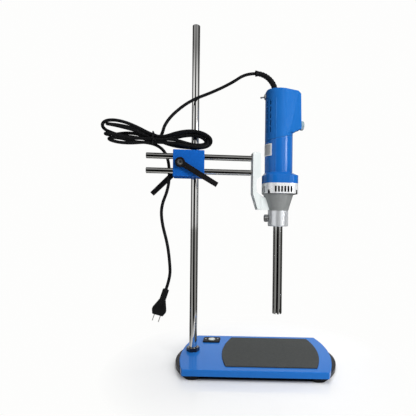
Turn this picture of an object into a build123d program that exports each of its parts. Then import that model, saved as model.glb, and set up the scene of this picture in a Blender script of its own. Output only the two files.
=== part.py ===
"""Laboratory rotor-stator homogenizer on its plate stand.

Row frame: the origin is on the stand rod's axis at bench level, +Z is up and +X points
along the base towards the work mat. Everything the clamp carries is drawn in the head
frame, which is the row frame turned about the rod by HEAD_SWING.
"""

from build123d import *
import math
import os

# ------------------------------------------------------------------ driving sizes, mm and degrees
CONTACT = 0.05          # radial room of a fixed pin or screw in its hole
RUNNING = 0.06          # radial room of a turning or sliding fit
SEAT = 0.3              # room between faces of different bodies

# base
BASE_CENTRE_X = 132.0   # plate centre from the rod axis
PLATE_LENGTH = 274.0    # corner to corner
PLATE_DEPTH = 200.0
PLATE_BULGE = 18.0      # rise of the curved ends
PLATE_THICKNESS = 12.0
PLATE_CORNER = 3.0
PLATE_EDGE = 1.5
RAIL_HEIGHT = 8.0
RAIL_REACH = 166.0      # outermost point of a foot rail from the plate centre
RAIL_OUTER_RADIUS = 140.0
RAIL_INNER_RADIUS = 230.0
RAIL_WIDTH = 45.0       # at its middle
RAIL_LENGTH = 196.0
RAIL_END_RADIUS = 12.0
RAIL_ROUNDING = 0.42    # most of the end's width that one corner may take
RAIL_CHAMFER = 0.8
FOOT_SCREW_X = 131.0    # from the plate centre
FOOT_SCREW_Y = 65.0
FOOT_SCREW_RADIUS = 2.5
FOOT_SCREW_GRIP = 9.0   # length in the plate
FOOT_HEAD_RADIUS = 4.5
FOOT_HEAD_HEIGHT = 3.0
FOOT_HEAD_DEPTH = 4.0   # depth of the head's pocket in the rail
MAT_LEFT = 56.0         # mat corners from the plate centre
MAT_RIGHT = 117.0
MAT_DEPTH = 166.0
MAT_BULGE = 13.5
MAT_THICKNESS = 2.0
LEVEL_X = 32.0          # spirit level from the rod axis
LEVEL_Y = 65.0
LEVEL_LENGTH = 38.0
LEVEL_DEPTH = 30.0
LEVEL_HEIGHT = 3.0
LEVEL_CORNER = 4.0
VIAL_RADIUS = 8.0
VIAL_DEPTH = 2.0        # pocket depth in the holder
VIAL_CROWN = 1.2       # rounding of the vial's top edge
LEVEL_SCREW_X = 13.5
LEVEL_SCREW_RADIUS = 1.25
LEVEL_SCREW_HEAD = 2.4
LEVEL_SCREW_HEAD_HEIGHT = 1.2
LEVEL_SCREW_GRIP = 5.0

# stand rod
ROD_RADIUS = 8.0
ROD_TOP = 708.0
ROD_CHAMFER = 1.0
NUT_FLATS = 24.0
NUT_HEIGHT = 8.0

# clamp block, head frame
HEAD_SWING = 10.0       # turn of the head about the rod at rest
HEAD_HEIGHT = 412.0     # middle of the clamp block
BLOCK_HEIGHT = 54.0
BLOCK_LEFT = 44.5
BLOCK_RIGHT = 18.5
BLOCK_FRONT = 38.0
BLOCK_BACK = 18.0
BLOCK_EDGE = 1.5
SLIT = 2.0
BUSH_WALL = 2.0
BUSH_INSET = 1.0
ARM_OFFSET = 22.0       # arm rods and motor axis in front of the stand rod
ARM_SPACING = 30.0
ARM_RADIUS = 6.0
ARM_LEFT = 98.5
ARM_CHAMFER = 0.8
LEVER_X = -30.0
LEVER_LENGTH = 86.0
FRONT_LEVER_ANGLE = -30.5
REAR_LEVER_ANGLE = -135.0
LEVER_HUB_RADIUS = 10.0
LEVER_HUB_HEIGHT = 13.0
LEVER_ARM_THICKNESS = 8.0
LEVER_ARM_ROOT = 12.0
LEVER_ARM_TIP = 10.0
LEVER_SCREW_RADIUS = 4.0
LEVER_SCREW_HEAD_RADIUS = 6.0
LEVER_SCREW_HEAD_HEIGHT = 5.0
LEVER_POCKET_DEPTH = 6.0
HEX_SOCKET_DEPTH = 3.0
FRONT_SCREW_REACH = 25.0    # from the block's front face
REAR_SCREW_REACH = 29.0     # from the block's back face

# motor bracket, head frame
AXIS_REACH = 176.0      # motor axis from the rod axis along the arms
BRACKET_LEFT = 119.0
BRACKET_BAR = 16.5
BRACKET_DEPTH = 30.0
BRACKET_TOP = 439.0
BRACKET_BEND = 353.0    # height where the left face starts to slant
BRACKET_FOOT = 319.5
BRACKET_HEEL = 352.0    # height where the right face turns into the foot
BRACKET_HEEL_DROP = 12.0
FOOT_SETBACK = 7.0      # foot's front face behind the bar's
FOOT_SLANT = 5.0        # run of the slant between them
BRACKET_EDGE = 1.5
SCOOP_RADIUS = 51.5
SCOOP_LOW = 356.5
SCOOP_HIGH = 381.0
SCOOP_RUN_OUT = 9.0
ARM_SOCKET = 11.0       # depth of the arm rods in the bracket
BRACKET_SCREW_HEIGHTS = (341.0, 327.0)
BRACKET_SCREW_RADIUS = 2.5
BRACKET_SCREW_GRIP = 5.0
BRACKET_HEAD_RADIUS = 4.2
BRACKET_HEAD_HEIGHT = 5.0
BRACKET_HEAD_SINK = 2.0
GRUB_RADIUS = 2.5
GRUB_LENGTH = 7.5

# nose cone, about the motor axis
NECK_RADIUS = 21.5
NECK_BOTTOM = 285.0
NECK_TOP = 318.0
NECK_EDGE = 2.0
CONE_TOP = 353.0
CONE_SLOPE = 17.0       # half angle
CONE_WALL = 4.0
SOCKET_RADIUS = 15.0    # mounting socket of the tool
SOCKET_TOP = 321.0
SHAFT_PASSAGE = 7.0
LOWER_BEARING_BASE = 325.0
LOWER_BEARING_HEIGHT = 7.0
BEARING_RADIUS = 11.0
LOCK_HEIGHT = 302.0
LOCK_SCREW_RADIUS = 3.0
LOCK_HEAD_RADIUS = 8.0
LOCK_HEAD_LENGTH = 8.0
LOCK_FLUTES = 12

# vent ring and motor housing
RING_HEIGHT = 22.0
RING_SIDE = 72.0
RING_CORNER = 23.0
RING_SHIFT = 3.0        # ring and collar off the motor axis, away from the clamp
RING_CHAMFER = 1.2
RING_BORE = 29.5
RING_FLOOR = 3.0
SLOT_COUNT = 6
SLOT_WIDTH = 3.75
SLOT_PITCH = 6.6
SLOT_HEIGHT = 12.0
SLOT_CENTRE = 362.5
CORNER_SCREW_OFFSET = 25.6
CORNER_POCKET_OFFSET = 26.1
CORNER_POCKET_RADIUS = 5.0
CORNER_POCKET_HEIGHT = 8.0
CORNER_HEAD_RADIUS = 3.8
CORNER_HEAD_HEIGHT = 2.8
CORNER_HEX = 3.0
CORNER_SCREW_RADIUS = 2.0
CORNER_SCREW_GRIP = 8.0
COLLAR_TOP = 392.0
SHOULDER_TOP = 398.0
TUBE_RADIUS = 29.5
SHELL = 3.0
SEAM_HEIGHT = 470.0     # on the motor axis
SEAM_SLOPE = 12.5
SEAM_GAP = 0.3
SEAM_GROOVE = 1.2       # height of the shadow line under the seam
SEAM_GROOVE_DEPTH = 0.9
RIB_ANGLE = 25.0        # from the front towards the clamp
RIB_WIDTH = 2.0
RIB_HEIGHT = 0.7
PLATE_BASE = 432.0
RATING_HEIGHT = 25.0
RATING_ANGLE = 72.0
RATING_SPAN = 60.0
RATING_THICKNESS = 0.5

# motor cover
COVER_TOP = 571.5
COVER_SHOULDER = 5.0    # rounding of the top towards the clamp
COVER_EDGE = 2.0        # rounding all round the top
BOX_BASE_INNER = 484.5  # underside of the box at the tube
BOX_BASE_OUTER = 492.0
BOX_BASE_CORNER = 4.0
BOX_REACH_LOW = 47.3    # outer face from the motor axis
BOX_REACH_HIGH = 44.5
BOX_HALF_WIDTH = 15.0
BOX_CORNER = 5.0
BOX_TOP_INNER = 36.5    # where the top starts to slant down
BOX_TOP_OUTER = 566.0
FACET_HIGH = (37.0, 561.0)  # reach and height of the crease on the box's sides
FACET_LOW = (27.0, 522.0)
FACET_DEPTH = 1.0       # at the outer top corner
CAVITY_TOP = 550.0
UPPER_BEARING_BASE = 550.0
VENT_BASE = 481.0
VENT_ANGLES = (50.0, 71.0)
VENT_COUNT = 5
VENT_WIDTH = 3.2
VENT_HEIGHT = 11.0
VENT_PITCH = 14.0
SWITCH_HEIGHT = 558.5
SWITCH_RADIUS = 4.0
SWITCH_DEPTH = 12.0
SWITCH_PROUD = 3.0
SWITCH_NUT_FLATS = 11.0
SWITCH_NUT_HEIGHT = 2.2
SWITCH_BORE = 2.4
TOGGLE_RADIUS = 1.3
TOGGLE_TIP_RADIUS = 1.8
TOGGLE_LENGTH = 7.0
TOGGLE_SEAT = 3.0       # pivot depth inside the bushing's mouth
TOGGLE_BALL_RADIUS = 2.2   # pivot ball in the bushing
TOGGLE_TILT = 12.0      # rests tilted down, in the off position
DIAL_HEIGHT = 501.0
DIAL_RADIUS = 10.0
DIAL_THICKNESS = 6.5
DIAL_SHAFT_RADIUS = 3.0
DIAL_SHAFT_LENGTH = 5.0

# motor inside
MOTOR_SHAFT_RADIUS = 4.0
MOTOR_SHAFT_BOTTOM = 313.0
FAN_CLEARANCE = 2.0     # above the ring's floor
FAN_HEIGHT = 14.0
FAN_RADIUS = 27.0
FAN_HUB_RADIUS = 8.0
FAN_BLADES = 9
FAN_BLADE_WIDTH = 1.6
FIELD_GAP = 30.0        # above the fan
FIELD_HEIGHT = 50.0
FIELD_BORE = 17.0
ARMATURE_RADIUS = 16.5
COMMUTATOR_GAP = 26.0   # above the armature's core
COMMUTATOR_HEIGHT = 20.0
COMMUTATOR_RADIUS = 10.0

# rotor-stator tool
TOOL_RADIUS = 10.0
TOOL_BORE = 7.5
TOOL_TIP = 99.5
COLLAR_BASE = 286.0
COLLAR_END = 300.0
STATOR_SLOTS = 8
STATOR_SLOT_WIDTH = 3.2
STATOR_SLOT_HEIGHT = 11.0
DRAIN_HEIGHT = 140.0
DRAIN_RADIUS = 2.0
DRAIN_ANGLE = -59.0     # from the head's +X axis
TOOL_SHAFT_RADIUS = 3.0
TOOL_BEARING_LENGTH = 12.0
TOOL_BEARING_BASES = (150.0, 268.0)
ROTOR_RADIUS = 7.1
ROTOR_HUB_RADIUS = 4.5
ROTOR_HEIGHT = 11.0
ROTOR_LIFT = 1.0        # above the stator's end
ROTOR_TEETH = 4
ROTOR_TOOTH_WIDTH = 2.4
COUPLING_BASE = 304.0
COUPLING_RADIUS = 8.0
COUPLING_LENGTH = 15.0
TOOL_SHAFT_TOP = 312.0

# mains cord
CORD_RADIUS = 3.25
BOOT_ROOT_RADIUS = 6.25
BOOT_END_RADIUS = 5.3
BOOT_LIP_RADIUS = 6.2
BOOT_LIP_LENGTH = 3.0
HANK_FRONT = -35.0
HANK_BACK = -12.5
HANK_EDGE = 1.0         # corner of the tie round the waist
HANK_DEPTH = 60.0       # deeper than the hank, each way
WAIST_X = -84.0         # where the tie grips the hank
WAIST_TOP = 472.0
WAIST_BOTTOM = 450.5
TIE_WIDTH = 2.4
TIE_ROOM = 0.6
TIE_THICKNESS = 1.6
PLUG_LENGTH = 54.0
PLUG_NECK_LENGTH = 27.0
PLUG_NECK_RADIUS = 6.5
PLUG_WIDTH = 30.0
PLUG_DEPTH = 17.0
BLADE_SPACING = 12.7
BLADE_WIDTH = 6.3
BLADE_THICKNESS = 1.5
BLADE_LENGTH = 14.0
BLADE_ROOT = 6.0        # length inside the plug

# Cord points, head frame. The run at the top leaves the boot and passes in front of the rod.
BOOT_ROOT = (167.5, -20.5, COVER_TOP)
TOP_RUN = [
    (124.4, -18.5, 608.1),
    (103.0, -17.8, 606.5),
    (76.0, -16.3, 586.5),
    (34.0, -14.6, 564.3),
    (-10.0, -14.4, 545.5),
    (-45.0, -17.3, 516.0),
    (-62.5, -20.8, 491.0),
    (-66.5, -22.0, 472.9),
]
# The drop leaves the hank below its waist and hangs behind both arm rods.
DROP = [
    (-75.4, -16.4, 447.8),
    (-64.0, -12.6, 439.5),
    (-55.5, -11.2, 423.0),
    (-52.0, -11.0, 395.0),
    (-54.5, -11.0, 360.0),
    (-68.8, -11.0, 324.0),
    (-66.5, -11.0, 289.0),
    (-54.5, -11.0, 246.0),
    (-49.5, -11.0, 205.0),
    (-48.5, -11.0, 178.0),
    (-56.6, -11.0, 153.0),
]
# Outline of the tied hank in the head's XZ plane, clockwise from the waist's upper edge.
HANK_OUTLINE = [
    (WAIST_X, WAIST_TOP),
    (-60.0, 472.5),
    (-38.0, 477.5),
    (-8.0, 481.0),
    (18.0, 477.0),
    (34.0, 461.0),
    (24.0, 444.5),
    (-10.0, 440.6),
    (-42.0, 442.8),
    (-62.0, 449.5),
    (WAIST_X, WAIST_BOTTOM),
    (-110.0, 448.5),
    (-140.0, 446.0),
    (-166.0, 456.0),
    (-182.0, 478.0),
    (-172.0, 493.5),
    (-134.0, 489.0),
    (-100.0, 476.5),
]

# Outline of the same hank seen from above: its left turns spread out in depth.
HANK_PLAN = [
    (WAIST_X, HANK_FRONT),
    (-60.0, -35.5),
    (-8.0, -36.5),
    (28.0, -33.5),
    (36.0, -24.0),
    (28.0, -14.5),
    (-8.0, -12.0),
    (-60.0, -12.2),
    (WAIST_X, HANK_BACK),
    (-112.0, -9.5),
    (-150.0, -5.0),
    (-178.0, -9.0),
    (-187.0, -24.0),
    (-178.0, -38.0),
    (-150.0, -42.5),
    (-112.0, -38.5),
]

# ------------------------------------------------------------------ derived sizes
PLATE_BASE_Z = RAIL_HEIGHT
PLATE_TOP = RAIL_HEIGHT + PLATE_THICKNESS
BLOCK_BOTTOM = HEAD_HEIGHT - BLOCK_HEIGHT / 2
BLOCK_TOP = HEAD_HEIGHT + BLOCK_HEIGHT / 2
BUSH_RADIUS = ROD_RADIUS + RUNNING + BUSH_WALL
ARM_HEIGHTS = (HEAD_HEIGHT - ARM_SPACING / 2, HEAD_HEIGHT + ARM_SPACING / 2)
ARM_RIGHT = BRACKET_LEFT + ARM_SOCKET
RING_BASE = CONE_TOP
RING_TOP = RING_BASE + RING_HEIGHT
FAN_BASE = RING_BASE + RING_FLOOR + FAN_CLEARANCE
FIELD_BASE = FAN_BASE + FAN_HEIGHT + FIELD_GAP
COMMUTATOR_BASE = FIELD_BASE + FIELD_HEIGHT + COMMUTATOR_GAP
CONE_TOP_RADIUS = NECK_RADIUS + (CONE_TOP - NECK_TOP) * math.tan(math.radians(CONE_SLOPE))


# ------------------------------------------------------------------ helpers
def head(shape):
    """Place a shape drawn in the head frame."""
    return Rot(0, 0, HEAD_SWING) * shape


def on_axis(shape):
    """Place a shape drawn about the motor axis, its X along the arms."""
    return head(Pos(AXIS_REACH, -ARM_OFFSET, 0) * shape)


def rod_z(radius, low, high, x=0.0, y=0.0):
    """Upright cylinder between two heights."""
    return Pos(x, y, low) * Cylinder(radius, high - low, align=(Align.CENTER, Align.CENTER, Align.MIN))


def rod_x(radius, start, end, y=0.0, z=0.0):
    """Cylinder along +X from start to end."""
    return Pos(start, y, z) * Rot(0, 90, 0) * rod_z(radius, 0, end - start)


def rod_y(radius, start, end, x=0.0, z=0.0):
    """Cylinder along +Y from start to end."""
    return Pos(x, start, z) * Rot(-90, 0, 0) * rod_z(radius, 0, end - start)


def slab(x0, x1, y0, y1, z0, z1):
    """Box between two corners."""
    middle = Pos((x0 + x1) / 2, (y0 + y1) / 2, (z0 + z1) / 2)
    return middle * Box(x1 - x0, y1 - y0, z1 - z0)


def prism(flats, low, high):
    """Upright hexagonal prism."""
    return Pos(0, 0, low) * extrude(RegularPolygon(flats / 2, 6, major_radius=False), high - low)


def turned(points):
    """Solid of revolution about Z from (radius, height) points."""
    outline = Plane.XZ * make_face(Polyline(*points, close=True))
    return revolve(outline, Axis.Z)


def bulged_face(left, right, half_depth, bulge):
    """Face with straight long sides and a shallow arc at each end."""
    return make_face(
        [
            Line((-left, -half_depth), (right, -half_depth)),
            ThreePointArc((right, -half_depth), (right + bulge, 0), (right, half_depth)),
            Line((right, half_depth), (-left, half_depth)),
            ThreePointArc((-left, half_depth), (-left - bulge, 0), (-left, -half_depth)),
        ]
    )


def rounded_square(side, corner):
    return RectangleRounded(side, side, corner)


def cord_radii(points):
    """Fillet radius at each inner point, 0.45 of the shorter run over tan(half turn)."""
    radii = []
    for before, here, after in zip(points, points[1:], points[2:]):
        run_in = Vector(*here) - Vector(*before)
        run_out = Vector(*after) - Vector(*here)
        half_turn = math.radians(run_in.get_angle(run_out)) / 2
        radii.append(0.45 * min(run_in.length, run_out.length) / math.tan(half_turn))
    return radii


def cord_tube(name, points):
    """Round tube of straight runs and tangent arcs along the points."""
    radii = cord_radii(points)
    print(name, "radii", [round(radius, 1) for radius in radii])
    path = FilletPolyline(*points, radius=radii)
    section = Plane(origin=path @ 0, z_dir=path % 0) * Circle(CORD_RADIUS)
    tube = sweep(section, path=path)
    wanted = math.pi * CORD_RADIUS**2 * path.length
    print(name, "length", round(path.length, 1), "volume share", round(tube.volume / wanted, 4))
    return tube


def socket_head(radius, height, socket):
    """Cylindrical screw head standing on z = 0, with a hexagonal socket in its top."""
    cap = rod_z(radius, 0, height)
    cap = chamfer(cap.edges().group_by(Axis.Z)[-1], radius * 0.08)
    return cap - prism(socket, height - min(HEX_SOCKET_DEPTH, height * 0.6), height + 1)


# ------------------------------------------------------------------ base
def base_plate():
    face = bulged_face(PLATE_LENGTH / 2, PLATE_LENGTH / 2, PLATE_DEPTH / 2, PLATE_BULGE)
    face = fillet(face.vertices(), PLATE_CORNER)
    plate = extrude(face, PLATE_THICKNESS)
    plate = fillet(plate.faces().sort_by(Axis.Z)[-1].edges(), PLATE_EDGE)
    plate = Pos(BASE_CENTRE_X, 0, PLATE_BASE_Z) * plate
    plate -= rod_z(ROD_RADIUS + CONTACT, 0, PLATE_TOP + 1)
    for x, y in foot_screw_places():
        plate -= rod_z(FOOT_SCREW_RADIUS + CONTACT, 0, RAIL_HEIGHT + FOOT_SCREW_GRIP + 0.5, x, y)
    for side in (-1, 1):
        place = (LEVEL_X + side * LEVEL_SCREW_X, LEVEL_Y)
        plate -= rod_z(LEVEL_SCREW_RADIUS + CONTACT, PLATE_TOP - LEVEL_SCREW_GRIP - 0.5, PLATE_TOP + 1, *place)
    return plate


def foot_screw_places():
    return [
        (BASE_CENTRE_X + sx * FOOT_SCREW_X, sy * FOOT_SCREW_Y) for sx in (-1, 1) for sy in (-1, 1)
    ]


def foot_rail(side):
    outer = Pos(RAIL_REACH - RAIL_OUTER_RADIUS, 0) * Circle(RAIL_OUTER_RADIUS)
    inner = Pos(RAIL_REACH - RAIL_WIDTH - RAIL_INNER_RADIUS, 0) * Circle(RAIL_INNER_RADIUS)
    strip = Pos(RAIL_REACH / 2 + RAIL_WIDTH, 0) * Rectangle(RAIL_REACH, RAIL_LENGTH)
    face = (outer - inner) & strip
    half = RAIL_LENGTH / 2
    outer_end = RAIL_REACH - RAIL_OUTER_RADIUS + math.sqrt(RAIL_OUTER_RADIUS**2 - half**2)
    inner_end = RAIL_REACH - RAIL_WIDTH - RAIL_INNER_RADIUS + math.sqrt(RAIL_INNER_RADIUS**2 - half**2)
    face = fillet(face.vertices(), min(RAIL_END_RADIUS, RAIL_ROUNDING * (outer_end - inner_end)))
    rail = extrude(face, RAIL_HEIGHT)
    rail = chamfer(rail.faces().sort_by(Axis.Z)[0].edges(), RAIL_CHAMFER)
    if side < 0:
        rail = mirror(rail, about=Plane.YZ)
    rail = Pos(BASE_CENTRE_X, 0, 0) * rail
    for x, y in foot_screw_places():
        if (x - BASE_CENTRE_X) * side > 0:
            rail -= rod_z(FOOT_SCREW_RADIUS + CONTACT, -1, RAIL_HEIGHT + 1, x, y)
            rail -= rod_z(FOOT_HEAD_RADIUS + 0.5, -1, FOOT_HEAD_DEPTH, x, y)
    return rail


def foot_screw(x, y):
    cap = socket_head(FOOT_HEAD_RADIUS, FOOT_HEAD_HEIGHT, 3.0)
    shank = rod_z(FOOT_SCREW_RADIUS, 0, RAIL_HEIGHT - FOOT_HEAD_DEPTH + FOOT_SCREW_GRIP)
    screw = shank + Rot(180, 0, 0) * cap
    return Pos(x, y, FOOT_HEAD_DEPTH) * screw


def work_mat():
    mat = extrude(bulged_face(MAT_LEFT, MAT_RIGHT, MAT_DEPTH / 2, MAT_BULGE), MAT_THICKNESS)
    mat = chamfer(mat.faces().sort_by(Axis.Z)[-1].edges(), 0.5)
    return Pos(BASE_CENTRE_X, 0, PLATE_TOP) * mat


def level_holder():
    holder = extrude(RectangleRounded(LEVEL_LENGTH, LEVEL_DEPTH, LEVEL_CORNER), LEVEL_HEIGHT)
    holder = chamfer(holder.faces().sort_by(Axis.Z)[-1].edges(), 0.6)
    holder -= rod_z(VIAL_RADIUS + CONTACT, LEVEL_HEIGHT - VIAL_DEPTH, LEVEL_HEIGHT + 1)
    for side in (-1, 1):
        holder -= rod_z(LEVEL_SCREW_RADIUS + CONTACT, -1, LEVEL_HEIGHT + 1, side * LEVEL_SCREW_X)
    return Pos(LEVEL_X, LEVEL_Y, PLATE_TOP) * holder


def level_vial():
    vial = rod_z(VIAL_RADIUS, 0, VIAL_DEPTH + VIAL_CROWN)
    vial = fillet(vial.edges().group_by(Axis.Z)[-1], VIAL_CROWN)
    return Pos(LEVEL_X, LEVEL_Y, PLATE_TOP + LEVEL_HEIGHT - VIAL_DEPTH) * vial


def level_screw(side):
    cap = rod_z(LEVEL_SCREW_HEAD, 0, LEVEL_SCREW_HEAD_HEIGHT)
    cap = chamfer(cap.edges().group_by(Axis.Z)[-1], 0.4)
    screw = cap + rod_z(LEVEL_SCREW_RADIUS, -LEVEL_HEIGHT - LEVEL_SCREW_GRIP, 0)
    return Pos(LEVEL_X + side * LEVEL_SCREW_X, LEVEL_Y, PLATE_TOP + LEVEL_HEIGHT) * screw


def stand_rod():
    rod = rod_z(ROD_RADIUS, RAIL_HEIGHT + 0.2, ROD_TOP)
    return chamfer(rod.edges().group_by(Axis.Z)[-1], ROD_CHAMFER)


def rod_jam_nut():
    nut = prism(NUT_FLATS, 0, NUT_HEIGHT)
    corner = NUT_FLATS / math.sqrt(3)
    crown = chamfer(rod_z(corner, 0, NUT_HEIGHT).edges().group_by(Axis.Z)[-1], 1.6)
    nut = (nut & crown) - rod_z(ROD_RADIUS + CONTACT, -1, NUT_HEIGHT + 1)
    return Pos(0, 0, PLATE_TOP) * Rot(0, 0, 12) * nut


# ------------------------------------------------------------------ clamp block and levers
def rod_bush():
    bush = rod_z(BUSH_RADIUS, BLOCK_BOTTOM + BUSH_INSET, BLOCK_TOP - BUSH_INSET)
    bush -= rod_z(ROD_RADIUS + RUNNING, BLOCK_BOTTOM, BLOCK_TOP)
    bush -= slab(-BUSH_RADIUS - 1, 0, -SLIT / 2, SLIT / 2, BLOCK_BOTTOM, BLOCK_TOP)
    return head(bush)


def clamp_block():
    block = slab(-BLOCK_LEFT, BLOCK_RIGHT, -BLOCK_FRONT, BLOCK_BACK, BLOCK_BOTTOM, BLOCK_TOP)
    block = fillet(block.edges(), BLOCK_EDGE)
    block -= rod_z(BUSH_RADIUS + RUNNING, BLOCK_BOTTOM - 1, BLOCK_TOP + 1)
    for height in ARM_HEIGHTS:
        block -= rod_x(ARM_RADIUS + RUNNING, -BLOCK_LEFT - 1, BLOCK_RIGHT + 1, -ARM_OFFSET, height)
    low, high = BLOCK_BOTTOM - 1, ARM_HEIGHTS[1]
    half = SLIT / 2
    block -= slab(-BLOCK_LEFT - 1, BLOCK_RIGHT + 1, -ARM_OFFSET - half, -ARM_OFFSET + half, low, high)
    block -= slab(-BLOCK_LEFT - 1, -ROD_RADIUS, -half, half, BLOCK_BOTTOM - 1, BLOCK_TOP + 1)
    bore = LEVER_SCREW_RADIUS + RUNNING
    block -= rod_y(bore, -BLOCK_FRONT - 1, BLOCK_BACK + 1, LEVER_X, HEAD_HEIGHT)
    return head(block)


def lever_parts(angle, front):
    """Clamping lever and its screw, drawn pointing along +X on the y = 0 face, hub towards -Y."""
    hub = rod_y(LEVER_HUB_RADIUS, -LEVER_HUB_HEIGHT, -SEAT)
    hub = chamfer(hub.edges().group_by(Axis.Y)[0], 1.2)
    root, tip = LEVER_ARM_ROOT / 2, LEVER_ARM_TIP / 2
    outline = Polyline((0, -root), (LEVER_LENGTH, -tip), (LEVER_LENGTH, tip), (0, root), close=True)
    arm = extrude(Plane.XZ * make_face(outline), LEVER_ARM_THICKNESS)
    arm = Pos(0, LEVER_ARM_THICKNESS - LEVER_HUB_HEIGHT + 0.4, 0) * arm
    arm = fillet(arm.edges().filter_by(Axis.X, tolerance=5), 1.5)
    bore = rod_y(LEVER_SCREW_RADIUS + CONTACT, -LEVER_HUB_HEIGHT - 1, 1)
    pocket = rod_y(LEVER_SCREW_HEAD_RADIUS + CONTACT, -LEVER_HUB_HEIGHT - 1, LEVER_POCKET_DEPTH - LEVER_HUB_HEIGHT)
    handle = hub + arm - bore - pocket
    reach = FRONT_SCREW_REACH if front else REAR_SCREW_REACH
    shank = rod_y(LEVER_SCREW_RADIUS, LEVER_POCKET_DEPTH - LEVER_HUB_HEIGHT - 0.5, reach)
    cap = Rot(90, 0, 0) * socket_head(LEVER_SCREW_HEAD_RADIUS, LEVER_SCREW_HEAD_HEIGHT, 6.0)
    screw = Pos(0, LEVER_POCKET_DEPTH - LEVER_HUB_HEIGHT, 0) * cap + shank
    if front:
        place = Pos(LEVER_X, -BLOCK_FRONT, HEAD_HEIGHT) * Rot(0, -angle, 0)
    else:
        place = Pos(LEVER_X, BLOCK_BACK, HEAD_HEIGHT) * Rot(0, -angle, 0) * Rot(180, 0, 0)
    return head(place * handle), head(place * screw)


# ------------------------------------------------------------------ arms and bracket
def arm_rod(height):
    rod = rod_x(ARM_RADIUS, -ARM_LEFT, ARM_RIGHT, -ARM_OFFSET, height)
    return head(chamfer(rod.edges().filter_by(GeomType.CIRCLE), ARM_CHAMFER))


def cone_radius(height):
    return NECK_RADIUS + (height - NECK_TOP) * math.tan(math.radians(CONE_SLOPE))


def bracket_screw_start(height):
    """X of the slanted face, from the rod axis, at a height."""
    return BRACKET_LEFT + (BRACKET_BEND - height) * math.tan(math.radians(CONE_SLOPE))


def motor_bracket():
    right = BRACKET_LEFT + BRACKET_BAR
    outline = Polyline(
        (BRACKET_LEFT, BRACKET_TOP),
        (right, BRACKET_TOP),
        (right, BRACKET_HEEL),
        (AXIS_REACH, BRACKET_HEEL - BRACKET_HEEL_DROP),
        (AXIS_REACH, BRACKET_FOOT),
        (bracket_screw_start(BRACKET_FOOT), BRACKET_FOOT),
        (BRACKET_LEFT, BRACKET_BEND),
        close=True,
    )
    body = extrude(Plane.XZ * make_face(outline), BRACKET_DEPTH / 2, both=True)
    body = fillet(body.edges().filter_by(Axis.Y), BRACKET_EDGE)
    front = -BRACKET_DEPTH / 2
    step = Polyline(
        (right - 1, front - 1),
        (right - 1, front),
        (right + FOOT_SLANT - 1, front + FOOT_SETBACK),
        (AXIS_REACH + 1, front + FOOT_SETBACK),
        (AXIS_REACH + 1, front - 1),
        close=True,
    )
    body -= Pos(0, 0, BRACKET_FOOT - 1) * extrude(make_face(step), SCOOP_HIGH - BRACKET_FOOT)
    body = Pos(0, -ARM_OFFSET, 0) * body
    body -= Pos(AXIS_REACH, -ARM_OFFSET, 0) * scoop_tool()
    for height in ARM_HEIGHTS:
        body -= rod_x(ARM_RADIUS + CONTACT, BRACKET_LEFT - 1, ARM_RIGHT + 0.2, -ARM_OFFSET, height)
        grub_x = BRACKET_LEFT + ARM_SOCKET - 4
        body -= rod_y(GRUB_RADIUS + CONTACT, -ARM_OFFSET, 0, grub_x, height)
    for height in BRACKET_SCREW_HEIGHTS:
        start = bracket_screw_start(height) + BRACKET_HEAD_SINK + BRACKET_HEAD_HEIGHT
        body -= rod_x(BRACKET_HEAD_RADIUS + CONTACT, BRACKET_LEFT - 5, start, -ARM_OFFSET, height)
        body -= rod_x(BRACKET_SCREW_RADIUS + CONTACT, BRACKET_LEFT, AXIS_REACH, -ARM_OFFSET, height)
    return head(body)


def scoop_tool():
    """Cutter about the motor axis: room for the vent ring above, seat for the cone below."""
    room = CONTACT
    seat_low, seat_high = BRACKET_FOOT - 1, BRACKET_HEEL - 6
    low_run = SCOOP_LOW - seat_high
    scoop = turned(
        [
            (0, seat_high - 1),
            (cone_radius(seat_high) + room, seat_high - 1),
            (cone_radius(seat_high) + 2, seat_high),
            (SCOOP_RADIUS - low_run, SCOOP_LOW - low_run * 0.7),
            (SCOOP_RADIUS, SCOOP_LOW),
            (SCOOP_RADIUS, SCOOP_HIGH),
            (SCOOP_RADIUS - SCOOP_RUN_OUT, SCOOP_HIGH + SCOOP_RUN_OUT),
            (0, SCOOP_HIGH + SCOOP_RUN_OUT),
        ]
    )
    seat = turned(
        [
            (0, seat_low),
            (cone_radius(seat_low) + room, seat_low),
            (cone_radius(seat_high) + room, seat_high),
            (0, seat_high),
        ]
    )
    return scoop + seat


def bracket_screw(height):
    start = bracket_screw_start(height) + BRACKET_HEAD_SINK + BRACKET_HEAD_HEIGHT
    end = AXIS_REACH - cone_radius(height) + BRACKET_SCREW_GRIP
    cap = Rot(0, -90, 0) * socket_head(BRACKET_HEAD_RADIUS, BRACKET_HEAD_HEIGHT, 4.0)
    screw = Pos(start, -ARM_OFFSET, height) * cap
    return head(screw + rod_x(BRACKET_SCREW_RADIUS, start - 1, end, -ARM_OFFSET, height))


def arm_grub_screw(height):
    start = -ARM_OFFSET + ARM_RADIUS + 0.1
    grub = rod_y(GRUB_RADIUS, start, start + GRUB_LENGTH, 0, 0)
    grub -= Pos(0, start + GRUB_LENGTH - 2.5, 0) * Rot(-90, 0, 0) * prism(2.5, 0, 4)
    return head(Pos(BRACKET_LEFT + ARM_SOCKET - 4, 0, height) * grub)


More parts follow.
